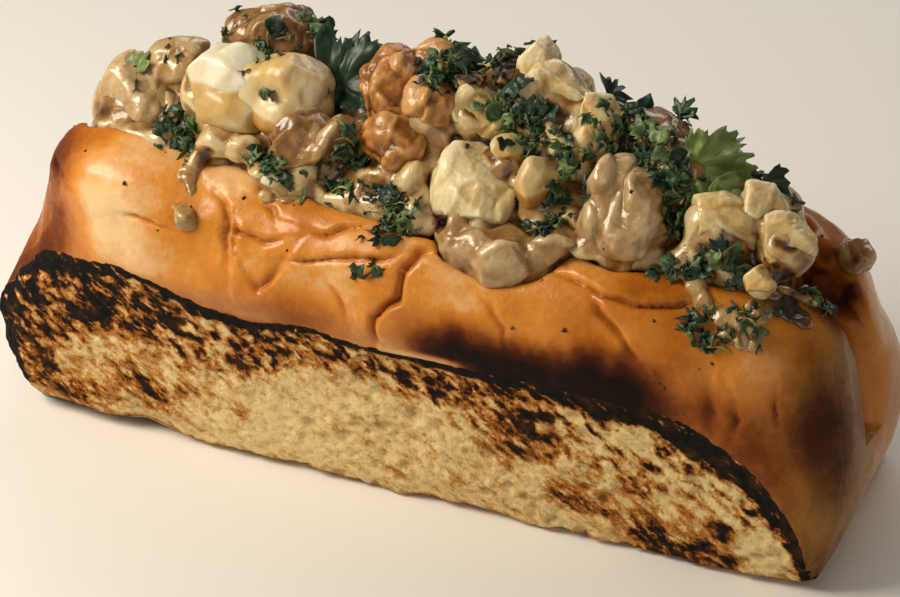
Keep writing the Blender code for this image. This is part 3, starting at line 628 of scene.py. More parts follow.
# folds and swellings that single pieces have: middle in mm, half sizes in mm, the way the long one points
shapedLobes = {
    "lip_morsel": [],
    "flake_large": [((14.2, -15.8, 57.8), (3.2, 3, 4.6), (0.3, 0.3, 1)),
                    ((15.4, -16.4, 55.8), (3, 2.6, 3.6), (1, 0, 0.3))],
    "flake_tip": [((13.6, 2.5, 74.5), (3.4, 3.2, 4), (0.2, 0.2, 1)),
                  ((15.5, 1, 72.5), (3, 3, 4.2), (1, -0.3, -0.4))],
    "tail_white": [((-41, -7, 66.5), (5.2, 4.8, 7), (1, 0.1, 0.15)),
                   ((-37.5, -9.5, 62), (5, 3.8, 8), (1, 0.1, 0)),
                   ((-35, -6.5, 65.5), (5.2, 5.4, 6), (1, 0, 0))],
    "tail_second": [((-27.5, -6.5, 67.5), (5, 4.6, 6.4), (1, 0, 0.1)),
                    ((-27, -9, 63), (4.8, 3.8, 6.6), (1, 0, 0.1)),
                    ((-33, -7.5, 64.5), (4.8, 4.8, 6), (0, 0.3, 1))],
    "folded_piece": [((-16.5, -12.5, 61.5), (2.1, 2.6, 5.5), (0.6, 0.6, 1)),
                     ((-24, -14.5, 60.5), (2.6, 2.8, 5), (0.3, 0.6, 1)),
                     ((-20.5, -15, 58.5), (2.6, 2.4, 4), (1, 0.1, 0.4))],
    "coated_front": [((9, -19.5, 51), (2.4, 1.8, 5.5), (-0.3, 0.5, 1)),
                     ((17, -20.3, 50.3), (4.6, 3.6, 5.2), (0.8, 0, 0.5)),
                     ((15, -20.5, 48), (3, 2.6, 4), (1, 0, 0.2)),
                     ((25, -17.5, 53), (3, 3, 5.5), (1, 0.5, 0.5))],
    "coated_long": [((31.5, -12.5, 61.5), (2.5, 3, 7.5), (-0.4, 0.6, 1)),
                    ((38.5, -12.5, 61), (3, 3, 6.5), (-0.1, 0.5, 1)),
                    ((36, -16, 55.5), (2.8, 2.8, 4), (1, 0.1, 0.2)),
                    ((41, -14.5, 56), (2.6, 2.6, 3.6), (0.2, 0.4, 1))],
}
# the height in mm below which sauce has turned a piece amber, where it isn't the piece's middle
amberBelow = {"tail_white": 66.2, "tail_second": 63.5, "segment_pale": 60, "flake_large": 55}
# singed places on the pale pieces: x, y, z in mm, reach, amount
scorches = [
    (5.5, -17.5, 53, 2.4, 1), (62.5, -15.5, 56.3, 1.3, 0.9), (60.5, -15.2, 56.9, 1.9, 0.5),
    (-39, -13, 57, 2.6, 0.25), (40, -17, 60, 2, 0.2), (4, 19, 55, 2.2, 0.9), (-38, 17, 55, 2, 0.5),
    (64.5, -5.5, 47.5, 2.4, 0.8), (67.5, -3, 45, 2, 1), (61, -2, 50, 1.8, 0.7), (68.5, -6.5, 45, 1.6, 0.5),
]


# how singed each point is
def singedAt(co):
    burn = np.zeros(len(co))
    for x, y, z, reach, amount in scorches:
        d = np.linalg.norm(co / mm - (x, y, z), axis=1) / reach
        burn = np.maximum(burn, amount * np.exp(-d * d))
    return burn


# flattens a rounded piece along planes set all round it, as torn meat breaks
def broken(co, count, depth, chance):
    middle = (co.min(0) + co.max(0)) / 2
    away = co - middle
    for i in range(count):
        rise = 1 - 2 * (i + 0.5) / count
        turn = i * 2.39996 + chance.uniform(-0.7, 0.7)
        flat = math.sqrt(1 - rise * rise)
        facing = np.array((flat * math.cos(turn), flat * math.sin(turn), rise))
        reach = away @ facing
        limit = reach.max() * (1 - depth * chance.uniform(0.5, 1.5))
        away = away - np.clip(reach - limit, 0, None)[:, None] * facing * 0.9
    return middle + away


# 1 in valleys, 0 on crests, a half on the flat; the materials paint shade into the valleys with it
def hollowness(mesh, co, ends):
    smooth = relaxed(co, ends, 24)
    return 0.5 + np.einsum("ij,ij->i", smooth - co, meshNormals(mesh)) / (0.7 * mm)


def makeMeat(node, index):
    kind, tone, run = meatPieces[node]
    look = meatKinds[kind]
    chance = np.random.default_rng(400 + index)
    low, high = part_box(node)
    middle, half = (low + high) / 2, (high - low) / 2
    shells = [mergedCopy(node)]
    for place, size, way in shapedLobes.get(node, []):
        shells.append(lump(Vector(place) * mm, Vector(size) * mm, way, meatShape["foldBlunt"]))
    lobes, lobeSize = look["lobes"]
    for _ in range(0 if node in shapedLobes else lobes):
        out = Vector(chance.normal(0, 1, 3)).normalized()
        place = middle + Vector([out[k] * half[k] for k in range(3)]) * meatShape["lobeOut"]
        size = Vector([half.length / 3 ** 0.5 * lobeSize * chance.uniform(0.7, 1.3) for _ in range(3)])
        shells.append(lump(place, size, chance.normal(0, 1, 3), meatShape["lobeBlunt"]))
    voxel = max(meatShape["finest"], min(meatShape["coarsest"], max(half) / meatShape["steps"]))
    obj = skinned(newPiece("meat_" + node, joinedMesh(node, shells)), voxel)
    mesh, co, ends = opened(obj)
    co = relaxed(co, ends, look["relax"])
    co = relaxed(broken(co, *look["breaks"], chance), ends, look["soften"])
    placePoints(mesh, co)
    n = meshNormals(mesh)
    # noise space turned so that its third axis runs with the fibres
    turn = np.array(Vector(run).normalized().to_track_quat("Z", "Y").to_matrix())
    local = wandered(co @ turn + index * 77.7 * mm, 3.5 * mm, 0.9 * mm, 300)
    near, second, _, level = cellNoise(local, look["part"] * mm, 301, (1, 1, 1.8))
    seam = 1 - ease(0.0, 0.22, second - near)
    fibre = softNoise(wandered(co @ turn, 5 * mm, 0.3 * mm, 310), look["fibre"] * mm, 311, 2, (1, 1, 12))
    broad = softNoise(local, 5.5 * mm, 321, 2)
    fuzz = softNoise(local, 0.55 * mm, 331, 2)
    dimple = softNoise(local, 1.7 * mm, 351, 2)
    bulk = min(1, half.length / meatShape["fullSize"])
    shift = (level - 0.45) * look["step"] * bulk - seam * look["seam"] + fibre * look["fibreDepth"]
    shift += broad * look["swell"] + dimple * look["dimple"] + fuzz * look["fuzz"] + meatShape["proud"]
    co = relaxed(co + n * (shift * mm)[:, None], ends, 1 + look["soften"] // 3)
    placePoints(mesh, co)
    amber = amberBelow.get(node, low.z / mm + (high.z - low.z) / mm * 0.5)
    setMasks(mesh, crest=level * 0.8 + 0.2 - seam * 0.3, fibre=fibre * 0.5 + 0.5,
             valley=hollowness(mesh, co, ends), tone=tone + softNoise(co, 4 * mm, 341) * 0.06,
             low=1 - ease(-0.3, 0.6, co[:, 2] / mm - amber + broad * 0.9), burn=singedAt(co))
    return obj


meats = {node: makeMeat(node, i) for i, node in enumerate(meatPieces)}
print("meat:", len(meats), "pieces,", sum(len(m.data.polygons) for m in meats.values()), "faces")

filling = {
    "voxel": 0.48 * mm,
    "triangles": 170000,
    "webbing": 26,             # how far the sauce rounds the gaps between pieces
    "sink": 0.9 * mm,          # how far it lies under the tops of the pieces
    "shrink": 0.96,
    "bits": 230,               # chopped pieces stirred into it
    "bitSize": 2.4 * mm,
    "lump": 3.6 * mm,
    "lumpStep": 0.8 * mm,
    "smallLump": 1.7 * mm,
    "smallStep": 0.22 * mm,
    "leftOut": ("lip_morsel", "flake_tip", "charred_upper", "charred_lower"),    # no sauce reaches these
}
# pieces of the mix that stand out at its edges: middle in mm, half sizes in mm, way the long one points
edgeBits = [
    ((-38, -14.5, 57.5), (2.6, 2.8, 4), (1, 0.2, 0.2)),
    ((-41.5, -16.5, 53.5), (2.2, 2.2, 3.5), (-0.2, 0.5, 1)),
    ((-33, -14.5, 57), (2.4, 2.4, 3.4), (0.8, 0.2, 0.6)), ((-28, -17, 54.5), (2.4, 2.2, 4), (1, 0, -0.2)),
    ((-56, -12.5, 54), (2.6, 2.4, 4.2), (1, -0.1, 0.3)),
    ((-49.5, -13.5, 54.5), (2.4, 2.4, 4), (1, 0.1, 0.1)), ((-22, -16.5, 54.5), (2, 2.2, 3), (0.5, 0.4, 1)),
    ((31, -17, 53.5), (2.2, 2.2, 3.5), (1, 0.2, 0)), ((47, -14.5, 54), (2.4, 2.4, 4), (1, 0.2, 0.3)),
    ((55, -13.5, 52.5), (2.4, 2.4, 4), (1, 0.1, -0.2)), ((-2, -15, 58), (2.2, 2.2, 4), (0.4, 0.5, 1)),
    ((-8, -15, 57), (2.2, 2, 3.6), (1, 0, 0.2)), ((63, -11, 49.5), (1.6, 1.3, 3), (1, 0.4, -0.3)),
    ((66, -9, 47.6), (1.3, 1.2, 2.8), (1, 0.5, -0.6)), ((64.5, -5.5, 47), (1.5, 1.3, 2.4), (0.6, 1, 0.2)),
    ((61, -2, 49), (1.6, 1.5, 2.6), (1, 0.7, 0.2)), ((67, -3, 44.5), (1.2, 1.1, 2), (0.5, 1, 0)),
    ((68.5, -6.5, 44.5), (1.1, 1, 2.2), (1, 0.3, -0.8)),
]


# the bound filling, with chopped pieces in it and sauce drawn up between the larger ones
def makeFilling():
    chance = np.random.default_rng(600)
    base = mergedCopy("filling")
    shells = [base] + [lump(Vector(place) * mm, Vector(size) * mm, way) for place, size, way in edgeBits]
    # chopped pieces show where the filling looks up, above the lobes
    tops = [face for face in base.polygons if face.normal.z > 0.25 and face.center.z > 44 * mm]
    area = np.array([face.area for face in tops])
    for choice in chance.choice(len(tops), filling["bits"], p=area / area.sum()):
        place = tops[choice].center - tops[choice].normal * 0.4 * mm
        size = Vector(chance.uniform(0.45, 1.1, 3) * filling["bitSize"])
        shells.append(lump(place, size, chance.normal(0, 1, 3)))
    for node in meatPieces:
        if node in filling["leftOut"]:
            continue
        shell = mergedCopy(node)
        co = meshPoints(shell)
        middle = (co.min(0) + co.max(0)) / 2
        placePoints(shell, middle + (co - middle) * filling["shrink"] - np.array((0, 0, filling["sink"])))
        shells.append(shell)
    obj = skinned(newPiece("boundFilling", joinedMesh("boundFilling", shells)), filling["voxel"])
    mesh, co, ends = opened(obj)
    co = relaxed(co, ends, filling["webbing"])
    placePoints(mesh, co)
    n = meshNormals(mesh)
    local = wandered(co, 3 * mm, 0.9 * mm, 200)
    number, level = cellNoise(local, filling["lump"], 201, (1.3, 1, 1))[2:]
    small = cellNoise(local, filling["smallLump"], 221)[3]
    shift = (level - 0.5) * filling["lumpStep"] + (small - 0.5) * filling["smallStep"]
    co = relaxed(co + n * shift[:, None], ends, 3)
    placePoints(mesh, co)
    # it is darker near the +X end, painted shade
    setMasks(mesh, tone=0.5 + softNoise(co, 5 * mm, 261) * 0.12 - 0.3 * ease(58 * mm, 64 * mm, co[:, 0]),
             valley=hollowness(mesh, co, ends), crest=level * 0.6 + small * 0.4,
             fibre=number * 0.7 + small * 0.3, burn=singedAt(co))
    return thinned(obj, filling["triangles"], np.clip(1 - ease(34 * mm, 44 * mm, co[:, 2]), 0.2, 1))


runs = {"voxel": 0.3 * mm, "webbing": 12, "lump": 2.2 * mm, "lumpStep": 1.1 * mm}
# sauce that has run over the crust: x, y, z in mm of each blob, its half width and its height
sauceRuns = [
    [(47, -14.5, 51, 2.6, 1.5), (49, -16.3, 50, 2.3, 1.3), (51, -17.8, 49, 2, 1.1), (53, -18.8, 48, 1.7, 0.9),
     (55, -19.8, 47.5, 2, 1), (57, -20.6, 47, 2.6, 1.2), (59, -21, 46.5, 2.9, 1.3),
     (60.5, -21.5, 45.5, 2.2, 1)],
    [(-45, -14, 53, 2.6, 1.5), (-43.5, -16, 52, 2.4, 1.3), (-42, -18, 51, 2.1, 1.2), (-41, -20, 50, 1.6, 1)],
    [(-27, -17.3, 52.5, 2.4, 1.2), (-23.5, -17.6, 52.2, 2.2, 1.1)],
    [(62, -14, 50, 2.8, 1.2), (65, -13, 49, 3, 1), (68, -12.5, 47.5, 2.4, 0.8), (61, -17, 49, 2.6, 1)],
    [(-61, -12, 52, 2.6, 1.4), (-57, -14, 51.5, 2.8, 1.4), (-52, -14, 51.5, 2.4, 1.3)],
    [(-48, 16, 52, 2.8, 1.6), (-44, 18, 51, 2.6, 1.4), (-41, 20.5, 49.5, 2, 1.1), (-39.5, 23, 47.5, 1.6, 1)],
    [(-20, 18, 51, 3, 1.6), (-15, 19, 51, 2.6, 1.3)],
    [(6, 19.5, 50.5, 3, 1.6), (10, 20.3, 50, 2.6, 1.4), (13, 21.5, 49, 2, 1.1), (14, 23.5, 47, 1.6, 1)],
    [(35, 17, 51, 2.8, 1.5), (39, 18.5, 50, 2.6, 1.4)],
    [(-40, -25, 47.5, 2.3, 2.2), (-41.3, -24.2, 48.2, 1.7, 1.2), (-38.8, -25.4, 46.8, 1.5, 1.1)],
    [(45, 24.5, 44, 1.6, 1.2)], [(-25, 25.5, 43, 1.4, 1.1)],
]


def makeRuns():
    blobs = []
    for run in sauceRuns:
        for x, y, z, wide, tall in run:
            spot, facing, _, _ = bunTree.find_nearest(Vector((x, y, z)) * mm)
            blobs.append(lump(spot, (wide * mm, wide * mm, tall * mm), facing))
    obj = skinned(newPiece("sauceRuns", joinedMesh("sauceRuns", blobs)), runs["voxel"])
    mesh, co, ends = opened(obj)
    co = relaxed(co, ends, runs["webbing"])
    placePoints(mesh, co)
    n = meshNormals(mesh)
    level = cellNoise(wandered(co, 2 * mm, 0.6 * mm, 240), runs["lump"], 241)[3]
    placePoints(mesh, relaxed(co + n * ((level - 0.6) * runs["lumpStep"])[:, None], ends, 3))
    # the run into the +X end of the slit is darkened with painted shade
    setMasks(mesh, tone=0.5 - 0.5 * ease(59 * mm, 63 * mm, co[:, 0]) * ease(-18 * mm, -15 * mm, co[:, 1]),
             valley=np.full(len(co), 0.4), crest=level * 0.5 + 0.4, fibre=level * 0.4 + 0.4)
    return obj


fillingPiece = makeFilling()
runsPiece = makeRuns()
print("filling:", len(fillingPiece.data.polygons), "faces, runs:", len(runsPiece.data.polygons))

herb = {
    "perSquareMetre": 1050000,
    "smallest": 0.5,
    "largest": 1.2,
    "bitSize": 3 * mm,
    "bitThick": 0.12 * mm,
    "tilt": 1.1,               # how far bits lean from the surface, in radians
    "lift": 0.3 * mm,
    "seed": 7,
    "dark": "#0e1d18", "green": "#28432f", "light": "#75894a",
    "palestBit": 0.68,         # tone of the palest scattered bit, 0 dark to 1 light
    "leafThick": 0.16 * mm,
    "wholeFrom": 8,            # leaves longer than this are whole, in mm
    "fannedFrom": 13,          # and longer than this spread into a fan
}
stem = {"perSquareMetre": 60000, "smallest": 0.6, "largest": 1, "tilt": 0.5, "lift": 0.35 * mm, "seed": 23,
        "thick": 0.3 * mm, "dark": "#5c6429", "green": "#8a8a42", "light": "#b4ad68"}
crumb = {"perSquareMetre": 80000, "smallest": 0.5, "largest": 1.1, "tilt": 0.8, "lift": 0.06 * mm, "seed": 41,
         "reach": 9, "amount": 0.5, "black": "#120c08", "brown": "#2c1a0f", "tan": "#7c5426"}

# whole and torn leaves laid one by one: place in mm, the way the tip points, the way the face looks,
# length in mm, tone 0 dark to 1 light, curl
leaves = [
    ((44.5, -6, 66.5), (1, 0, 0.12), (0.2, -0.85, 0.5), 10.5, 0.8, 0.3),
    ((49, -7, 65), (0.9, -0.1, -0.7), (0.3, -0.85, 0.4), 6.5, 0.7, 0.5),
    ((-21.5, -3, 63), (0.2, 0, 1), (0.3, -0.8, 0.35), 14, 0.2, 0.35),
    ((-20, -2, 66), (0.75, 0.1, 0.9), (-0.2, -0.8, 0.5), 11, 0.25, 0.4),
    ((-28, 2, 72), (0.4, 0.3, 0.6), (0.5, -0.5, 0.7), 6, 0.1, 0.6),
    ((27, 2, 72), (0.3, 0.3, 0.4), (0.5, -0.4, 0.7), 5, 0.05, 0.6),
    ((32, 1, 70), (0.8, 0.2, 0), (0.3, -0.6, 0.8), 6, 0.1, 0.7),
    ((39, 4, 69.5), (0.1, 0.2, 1), (-0.3, -0.9, 0.5), 4.5, 0.3, 0.6),
    ((55, 2, 62), (0.9, 0.1, -0.2), (0.3, -0.5, 0.8), 5.5, 0.15, 0.6),
    ((-58.5, -5, 62.5), (0.1, 0.1, 1), (-0.4, -0.8, 0.5), 5, 0.75, 0.4),
    ((0, -1, 75), (0.8, 0, 0.4), (0, -0.6, 0.8), 5, 0.3, 0.9),
    ((28, -16.6, 54.5), (0.2, -0.3, -1), (0.2, -0.9, 0.4), 3.8, 0.25, 0.3),
    ((36, -17.6, 57), (0.2, -0.2, -1), (0.2, -0.9, 0.3), 3.8, 0.2, 0.3),
    ((-27, 14, 63), (-0.8, 0.2, -0.3), (0, 0.7, 0.7), 9, 0.4, 0.5),
    ((6, 16, 65), (0.9, 0.2, 0.2), (0, 0.7, 0.7), 8, 0.4, 0.6),
    ((30, 16, 60), (0.8, 0.1, -0.4), (0, 0.7, 0.7), 7, 0.3, 0.5),
]

# where chopped herb lies: x, y, z in mm, reach in mm, how thick
herbSpots = [
    (-58, -7, 61, 1.6, 0.8), (-52, -4, 65, 1.6, 0.8), (-48, -13, 56, 2.2, 2.2), (-45, -14.5, 54, 2.2, 2.4),
    (-47, -12, 58, 2.2, 2), (-44, 0, 72, 2, 1.2), (-41, 1, 73, 1.6, 1), (-34, -3, 71, 2.2, 1.4),
    (-31, -7, 70, 2, 1.2), (-36, -10, 68, 1.5, 0.8), (-30, -11, 67, 1.5, 0.8), (-27, 3, 73, 3, 1.6),
    (-22, -2, 64, 3, 2), (-31, -15.5, 56.5, 1.6, 1.6), (-26, -16.5, 56, 2.2, 1.8), (-23, -17, 54, 2, 1.4),
    (-15, -12.5, 60, 2.6, 2.2), (-14, -15, 56.5, 3, 2.6), (-17, -14, 57, 2, 1.5), (-4, -18, 54.5, 2.6, 2.8),
    (-2, -19.5, 52.5, 2.6, 2.6), (-6, -20, 51, 1.8, 1.4), (-5, -25, 46, 1.4, 1.2),
    (-7.5, -25.5, 45, 1, 0.8), (1, -2, 75, 2.8, 3), (-2, -3, 73, 2.4, 2.6), (4, -1, 76, 2.6, 2.4),
    (7, 2, 76, 2.2, 1.6), (0, -8, 70, 1.5, 0.8), (3, -4, 66, 1.5, 0.8), (13, -7, 71.5, 2.4, 2.4),
    (11, -9, 69, 2.2, 1.8), (16, -9, 68, 2.6, 2.4), (19, -10, 69, 2.2, 1.6), (23, -10, 68, 2, 1.6),
    (25, -6, 73, 1.8, 1.4), (11, -14.5, 61, 1.4, 0.8), (25.2, -11.5, 63.5, 2.2, 2.6),
    (24.4, -13.5, 60.5, 2, 2.8), (22.8, -15.5, 57.5, 1.9, 2.4), (23, -17, 55, 2, 2),
    (26, -15, 58, 1.6, 1.2), (31, -3, 71, 2.6, 2.2), (34, -5, 69, 2.4, 2.2), (37, -6, 67, 2.4, 2.2),
    (30, -7, 69, 1.8, 1.4), (42, -9, 65, 2.2, 1.8), (43, -11, 62, 1.8, 1.4), (40, 3, 69, 2, 1.6),
    (52, -4, 66, 2, 1.2), (57, 6, 59, 2.6, 1.6), (45, -16, 53, 2, 2.2), (48, -15.5, 53.5, 2.2, 2.4),
    (52, -15, 54, 2, 2), (55, -14, 54.5, 2, 2.2), (57, -15.5, 51.5, 1.8, 1.6), (52, -22, 47, 2.2, 2.6),
    (54, -23, 44.5, 1.8, 2), (58, -19.5, 48.5, 2, 2), (61, -19, 46.5, 2, 1.8), (62, -16, 50, 2, 1),
    (67, -6, 46, 3, 0.8), (60, 0, 50, 3, 0.6), (15, -7, 69.5, 2.2, 2.2), (10, -5, 70, 2, 1.8),
    (19, -7, 74, 1.6, 1.2), (-1, -1, 74.5, 2, 2.2), (-2, 3, 75.5, 2.2, 2.4), (1, 3, 71.5, 2, 1.8),
    (-2, -6, 73, 1.6, 1.4), (29, -8, 69, 2, 2.2), (31, -5, 66.5, 2, 2.4), (36, -3, 65, 2.2, 2.6),
    (33, -3, 69, 2.2, 2.8), (23, -11, 67, 2, 1.8), (39, -7, 68, 2.2, 2.8), (44, -9, 65, 1.6, 1.6),
    (43, -10, 58.5, 2.4, 2.6), (29, -12, 62.5, 1.4, 1), (-48, 14, 58, 3, 1.6), (-32, 13, 62, 3, 1.6),
    (-18, 17, 57, 3, 2), (-4, 12, 66, 3, 1.6), (8, 18, 59, 3, 2), (24, 16, 60, 3, 2), (36, 15, 58, 3, 1.6),
    (50, 12, 56, 3, 1.8), (10, 7, 73, 3, 1.6), (-12, 6, 70, 3, 1.6), (12, 23, 48, 2, 1),
    (-28, 22, 49, 2, 1), (48, 22, 47, 2, 1), (28, 6, 70, 3, 1.2), (-40, 10, 66, 2.4, 1.6),
    (0, 17, 60, 2.4, 1.6), (42, 9, 64, 2.4, 1.6), (-56, 6, 60, 2.4, 1.4),
]


# a cut leaf: a lobed, toothed outline, folded along its middle, curled and crumpled, as a closed thin sheet
def leafSheet(name, seed, size, around, ringCount, lobes, teeth, curl, crumple, thick, notch):
    chance = np.random.default_rng(seed)
    angle = np.linspace(-math.pi, math.pi, around, endpoint=False)
    reach = np.full(around, 0.16)
    for way, length, narrow in lobes:
        reach = np.maximum(reach, length * np.clip(np.cos(angle - way), 0, 1) ** narrow)
    saw = (angle / (2 * math.pi) * teeth + chance.uniform()) % 1.0
    reach = reach * (1 - notch * saw) * (1 + chance.uniform(-0.1, 0.1, around))
    points, vein = [np.zeros((1, 3))], [np.ones(1)]
    for r in range(1, ringCount + 1):
        share = (r / ringCount) ** 0.85
        x, y = share * reach * np.cos(angle), share * reach * np.sin(angle)
        flat = np.stack([x, y, np.zeros(around)], 1) * size
        rib = np.max([np.exp(-((angle - way) * share * 9) ** 2) for way, _, _ in lobes], axis=0)
        up = (np.abs(y) * 0.35 - curl * (x * x * 0.8 + y * y * 0.6)) * size - rib * 0.03 * size
        up += softNoise(flat + seed, size * 0.26, seed, 2) * crumple * size * share
        points.append(np.stack([x * size, y * size, up], 1))
        vein.append(np.maximum(rib * 0.8, 0.75 * (r == ringCount) + chance.uniform(-0.2, 0.2, around)))
    faces = [(0, 1 + i, 1 + (i + 1) % around) for i in range(around)]
    for r in range(ringCount - 1):
        a, b = 1 + r * around, 1 + (r + 1) * around
        faces += [(a + i, b + i, b + (i + 1) % around, a + (i + 1) % around) for i in range(around)]
    mesh = bpy.data.meshes.new(name)
    mesh.from_pydata(np.concatenate(points).tolist(), [], faces)
    setMasks(mesh, vein=np.concatenate(vein))
    obj = newPiece(name, mesh)
    modifier = obj.modifiers.new("thickness", "SOLIDIFY")
    modifier.thickness = thick
    modifier.offset = 0
    return settled(obj)


def makeLeaves():
    meshes = []
    for i, (place, tip, face, length, tone, curl) in enumerate(leaves):
        chance = np.random.default_rng(900 + i)
        whole = length > herb["wholeFrom"]
        spread = 0.85 + chance.uniform(-0.1, 0.15)
        lobes = [(0, 1.0, 3.5), (spread, 0.9, 4.5), (-spread, 0.86, 4.5)]
        if whole:
            lobes = [(0, 1.0, 1.5), (0.62, 0.92, 3), (-0.6, 0.95, 3), (1.4, 0.6, 3), (-1.35, 0.6, 3)]
        if length > herb["fannedFrom"]:
            lobes = [(0, 0.82, 3), (0.36, 1.0, 16), (-0.32, 0.98, 16), (0.85, 0.6, 5), (-0.85, 0.6, 5)]
        fine = (108, 8, 27, 0.26, 0.13) if whole else (40, 4, 13, 0.2, 0.34)
        around, ringCount, teeth, crumple, notch = fine
        obj = leafSheet("leaf", 900 + i, length * mm, around, ringCount, lobes, teeth, curl, crumple,
                        herb["leafThick"], notch)
        z = Vector(face).normalized()
        x = (Vector(tip) - z * Vector(tip).dot(z)).normalized()
        turn = Matrix((x, z.cross(x), z)).transposed().to_4x4()
        obj.data.transform(Matrix.Translation(Vector(place) * mm) @ turn)
        setMasks(obj.data, tone=np.full(len(obj.data.vertices), tone))
        meshes.append(obj.data)
        bpy.data.objects.remove(obj)
    return newPiece("parsleyLeaves", joinedMesh("parsleyLeaves", meshes, ("vein", "tone")))


# the open skin near the given spots as one mesh to scatter on, with how thick the scatter is
def scatterGround(name, pieces, spots, skyward):
    verts, faces, weights, start = [], [], [], 0
    for piece in pieces:
        mesh = piece.data
        mesh.calc_loop_triangles()
        tris = readAll(mesh.loop_triangles, "vertices", 3, np.int32)
        co = meshPoints(mesh)
        weight = np.zeros(len(co))
        for x, y, z, reach, amount in spots:
            near = np.linalg.norm(co / mm - (x, y, z), axis=1) / reach
            weight += amount * np.exp(-near * near)
        corners = co[tris]
        facing = np.cross(corners[:, 1] - corners[:, 0], corners[:, 2] - corners[:, 0])
        facing /= np.linalg.norm(facing, axis=1)[:, None] + 1e-12
        kept = tris[(weight[tris].mean(1) > 0.05) & (facing[:, 2] > skyward)]
        used, back = np.unique(kept, return_inverse=True)
        verts.append(co[used])
        weights.append(weight[used])
        faces.append(back.reshape(-1, 3) + start)
        start += len(used)
    co, tris = np.concatenate(verts), np.concatenate(faces)
    # what lies under something else is left out
    cover = BVHTree.FromPolygons(co.tolist(), tris.tolist())
    shown = []
    for m in co[tris].mean(1):
        way = Vector((0.1, -0.55 if m[1] < 4 * mm else 0.55, 0.85)).normalized()
        shown.append(cover.ray_cast(Vector(m) + way * 0.5 * mm, way, 12 * mm)[0] is None)
    mesh = bpy.data.meshes.new(name)
    mesh.from_pydata(co.tolist(), [], tris[np.array(shown)].tolist())
    setMasks(mesh, thick=np.concatenate(weights) / 3)
    return newPiece(name, mesh)


# scatters the shapes of a collection over a ground, as a Geometry Nodes tree with named inputs
def scatterTree(name):
    tree = bpy.data.node_groups.new(name, "GeometryNodeTree")
    tree.is_modifier = True
    for title, kind in (("Geometry", "Geometry"), ("Shapes", "Collection"), ("Finish", "Material"),
                        ("Density", "Float"), ("Smallest", "Float"), ("Largest", "Float"), ("Tilt", "Float"),
                        ("Lift", "Float"), ("Seed", "Int")):
        tree.interface.new_socket(title, in_out="INPUT", socket_type="NodeSocket" + kind)
    tree.interface.new_socket("Geometry", in_out="OUTPUT", socket_type="NodeSocketGeometry")
    start = tree.nodes.new("NodeGroupInput")
    given = {socket.name: socket for socket in start.outputs}
    thick = addNode(tree, "GeometryNodeInputNamedAttribute", {"Name": "thick"}, data_type="FLOAT")
    density = addNode(tree, "ShaderNodeMath", [thick, given["Density"]], operation="MULTIPLY")
    spread = addNode(tree, "GeometryNodeDistributePointsOnFaces", {
        "Mesh": given["Geometry"], "Density": density, "Seed": given["Seed"]}).node
    lift = addNode(tree, "ShaderNodeVectorMath", {
        0: spread.outputs["Normal"], "Scale": given["Lift"]}, operation="SCALE")
    raised = addNode(tree, "GeometryNodeSetPosition", {"Geometry": spread.outputs["Points"], "Offset": lift})
    lean = addNode(tree, "ShaderNodeMath", [given["Tilt"], -1.0], operation="MULTIPLY")
    low = addNode(tree, "ShaderNodeCombineXYZ", [lean, lean, -math.pi])
    high = addNode(tree, "ShaderNodeCombineXYZ", [given["Tilt"], given["Tilt"], math.pi])
    turn = addNode(tree, "FunctionNodeRandomValue", {
        "Min": low, "Max": high, "Seed": given["Seed"]}, data_type="FLOAT_VECTOR")
    turn = addNode(tree, "FunctionNodeEulerToRotation", [turn])
    turned = addNode(tree, "FunctionNodeRotateRotation", [
        spread.outputs["Rotation"], turn], rotation_space="LOCAL")
    size = addNode(tree, "FunctionNodeRandomValue", {
        "Min": given["Smallest"], "Max": given["Largest"], "Seed": 3}, data_type="FLOAT")
    shapes = addNode(tree, "GeometryNodeCollectionInfo", {
        "Collection": given["Shapes"], "Separate Children": True, "Reset Children": True})
    placed = addNode(tree, "GeometryNodeInstanceOnPoints", {
        "Points": raised, "Instance": shapes, "Pick Instance": True, "Rotation": turned, "Scale": size})
    tone = addNode(tree, "FunctionNodeRandomValue", {
        "Min": 0.0, "Max": herb["palestBit"], "Seed": 5}, data_type="FLOAT")
    toned = addNode(tree, "GeometryNodeStoreNamedAttribute", {
        "Geometry": placed, "Name": "tone", "Value": tone}, data_type="FLOAT", domain="INSTANCE")
    solid = addNode(tree, "GeometryNodeRealizeInstances", [toned])
    dressed = addNode(tree, "GeometryNodeSetMaterial", {"Geometry": solid, "Material": given["Finish"]})
    end = tree.nodes.new("NodeGroupOutput")
    tree.links.new(dressed, end.inputs[0])
    return tree


# the ground becomes the piece: shapes scattered over it as look says, as one plain mesh
def scattered(name, ground, shapes, material, look):
    collection = bpy.data.collections.new(name)
    for shape in shapes:
        bpy.context.scene.collection.objects.unlink(shape)
        collection.objects.link(shape)
    modifier = ground.modifiers.new("scatter", "NODES")
    modifier.node_group = scatter
    values = {"Density": float(look["perSquareMetre"]), "Smallest": float(look["smallest"]),
              "Largest": float(look["largest"]), "Tilt": look["tilt"], "Lift": look["lift"],
              "Seed": look["seed"], "Shapes": collection, "Finish": material}
    for item in scatter.interface.items_tree:
        if item.item_type == "SOCKET" and item.in_out == "INPUT" and item.name in values:
            modifier[item.identifier] = values[item.name]
    ground.name = name
    settled(ground)
    for shape in shapes:
        bpy.data.objects.remove(shape)
    return ground


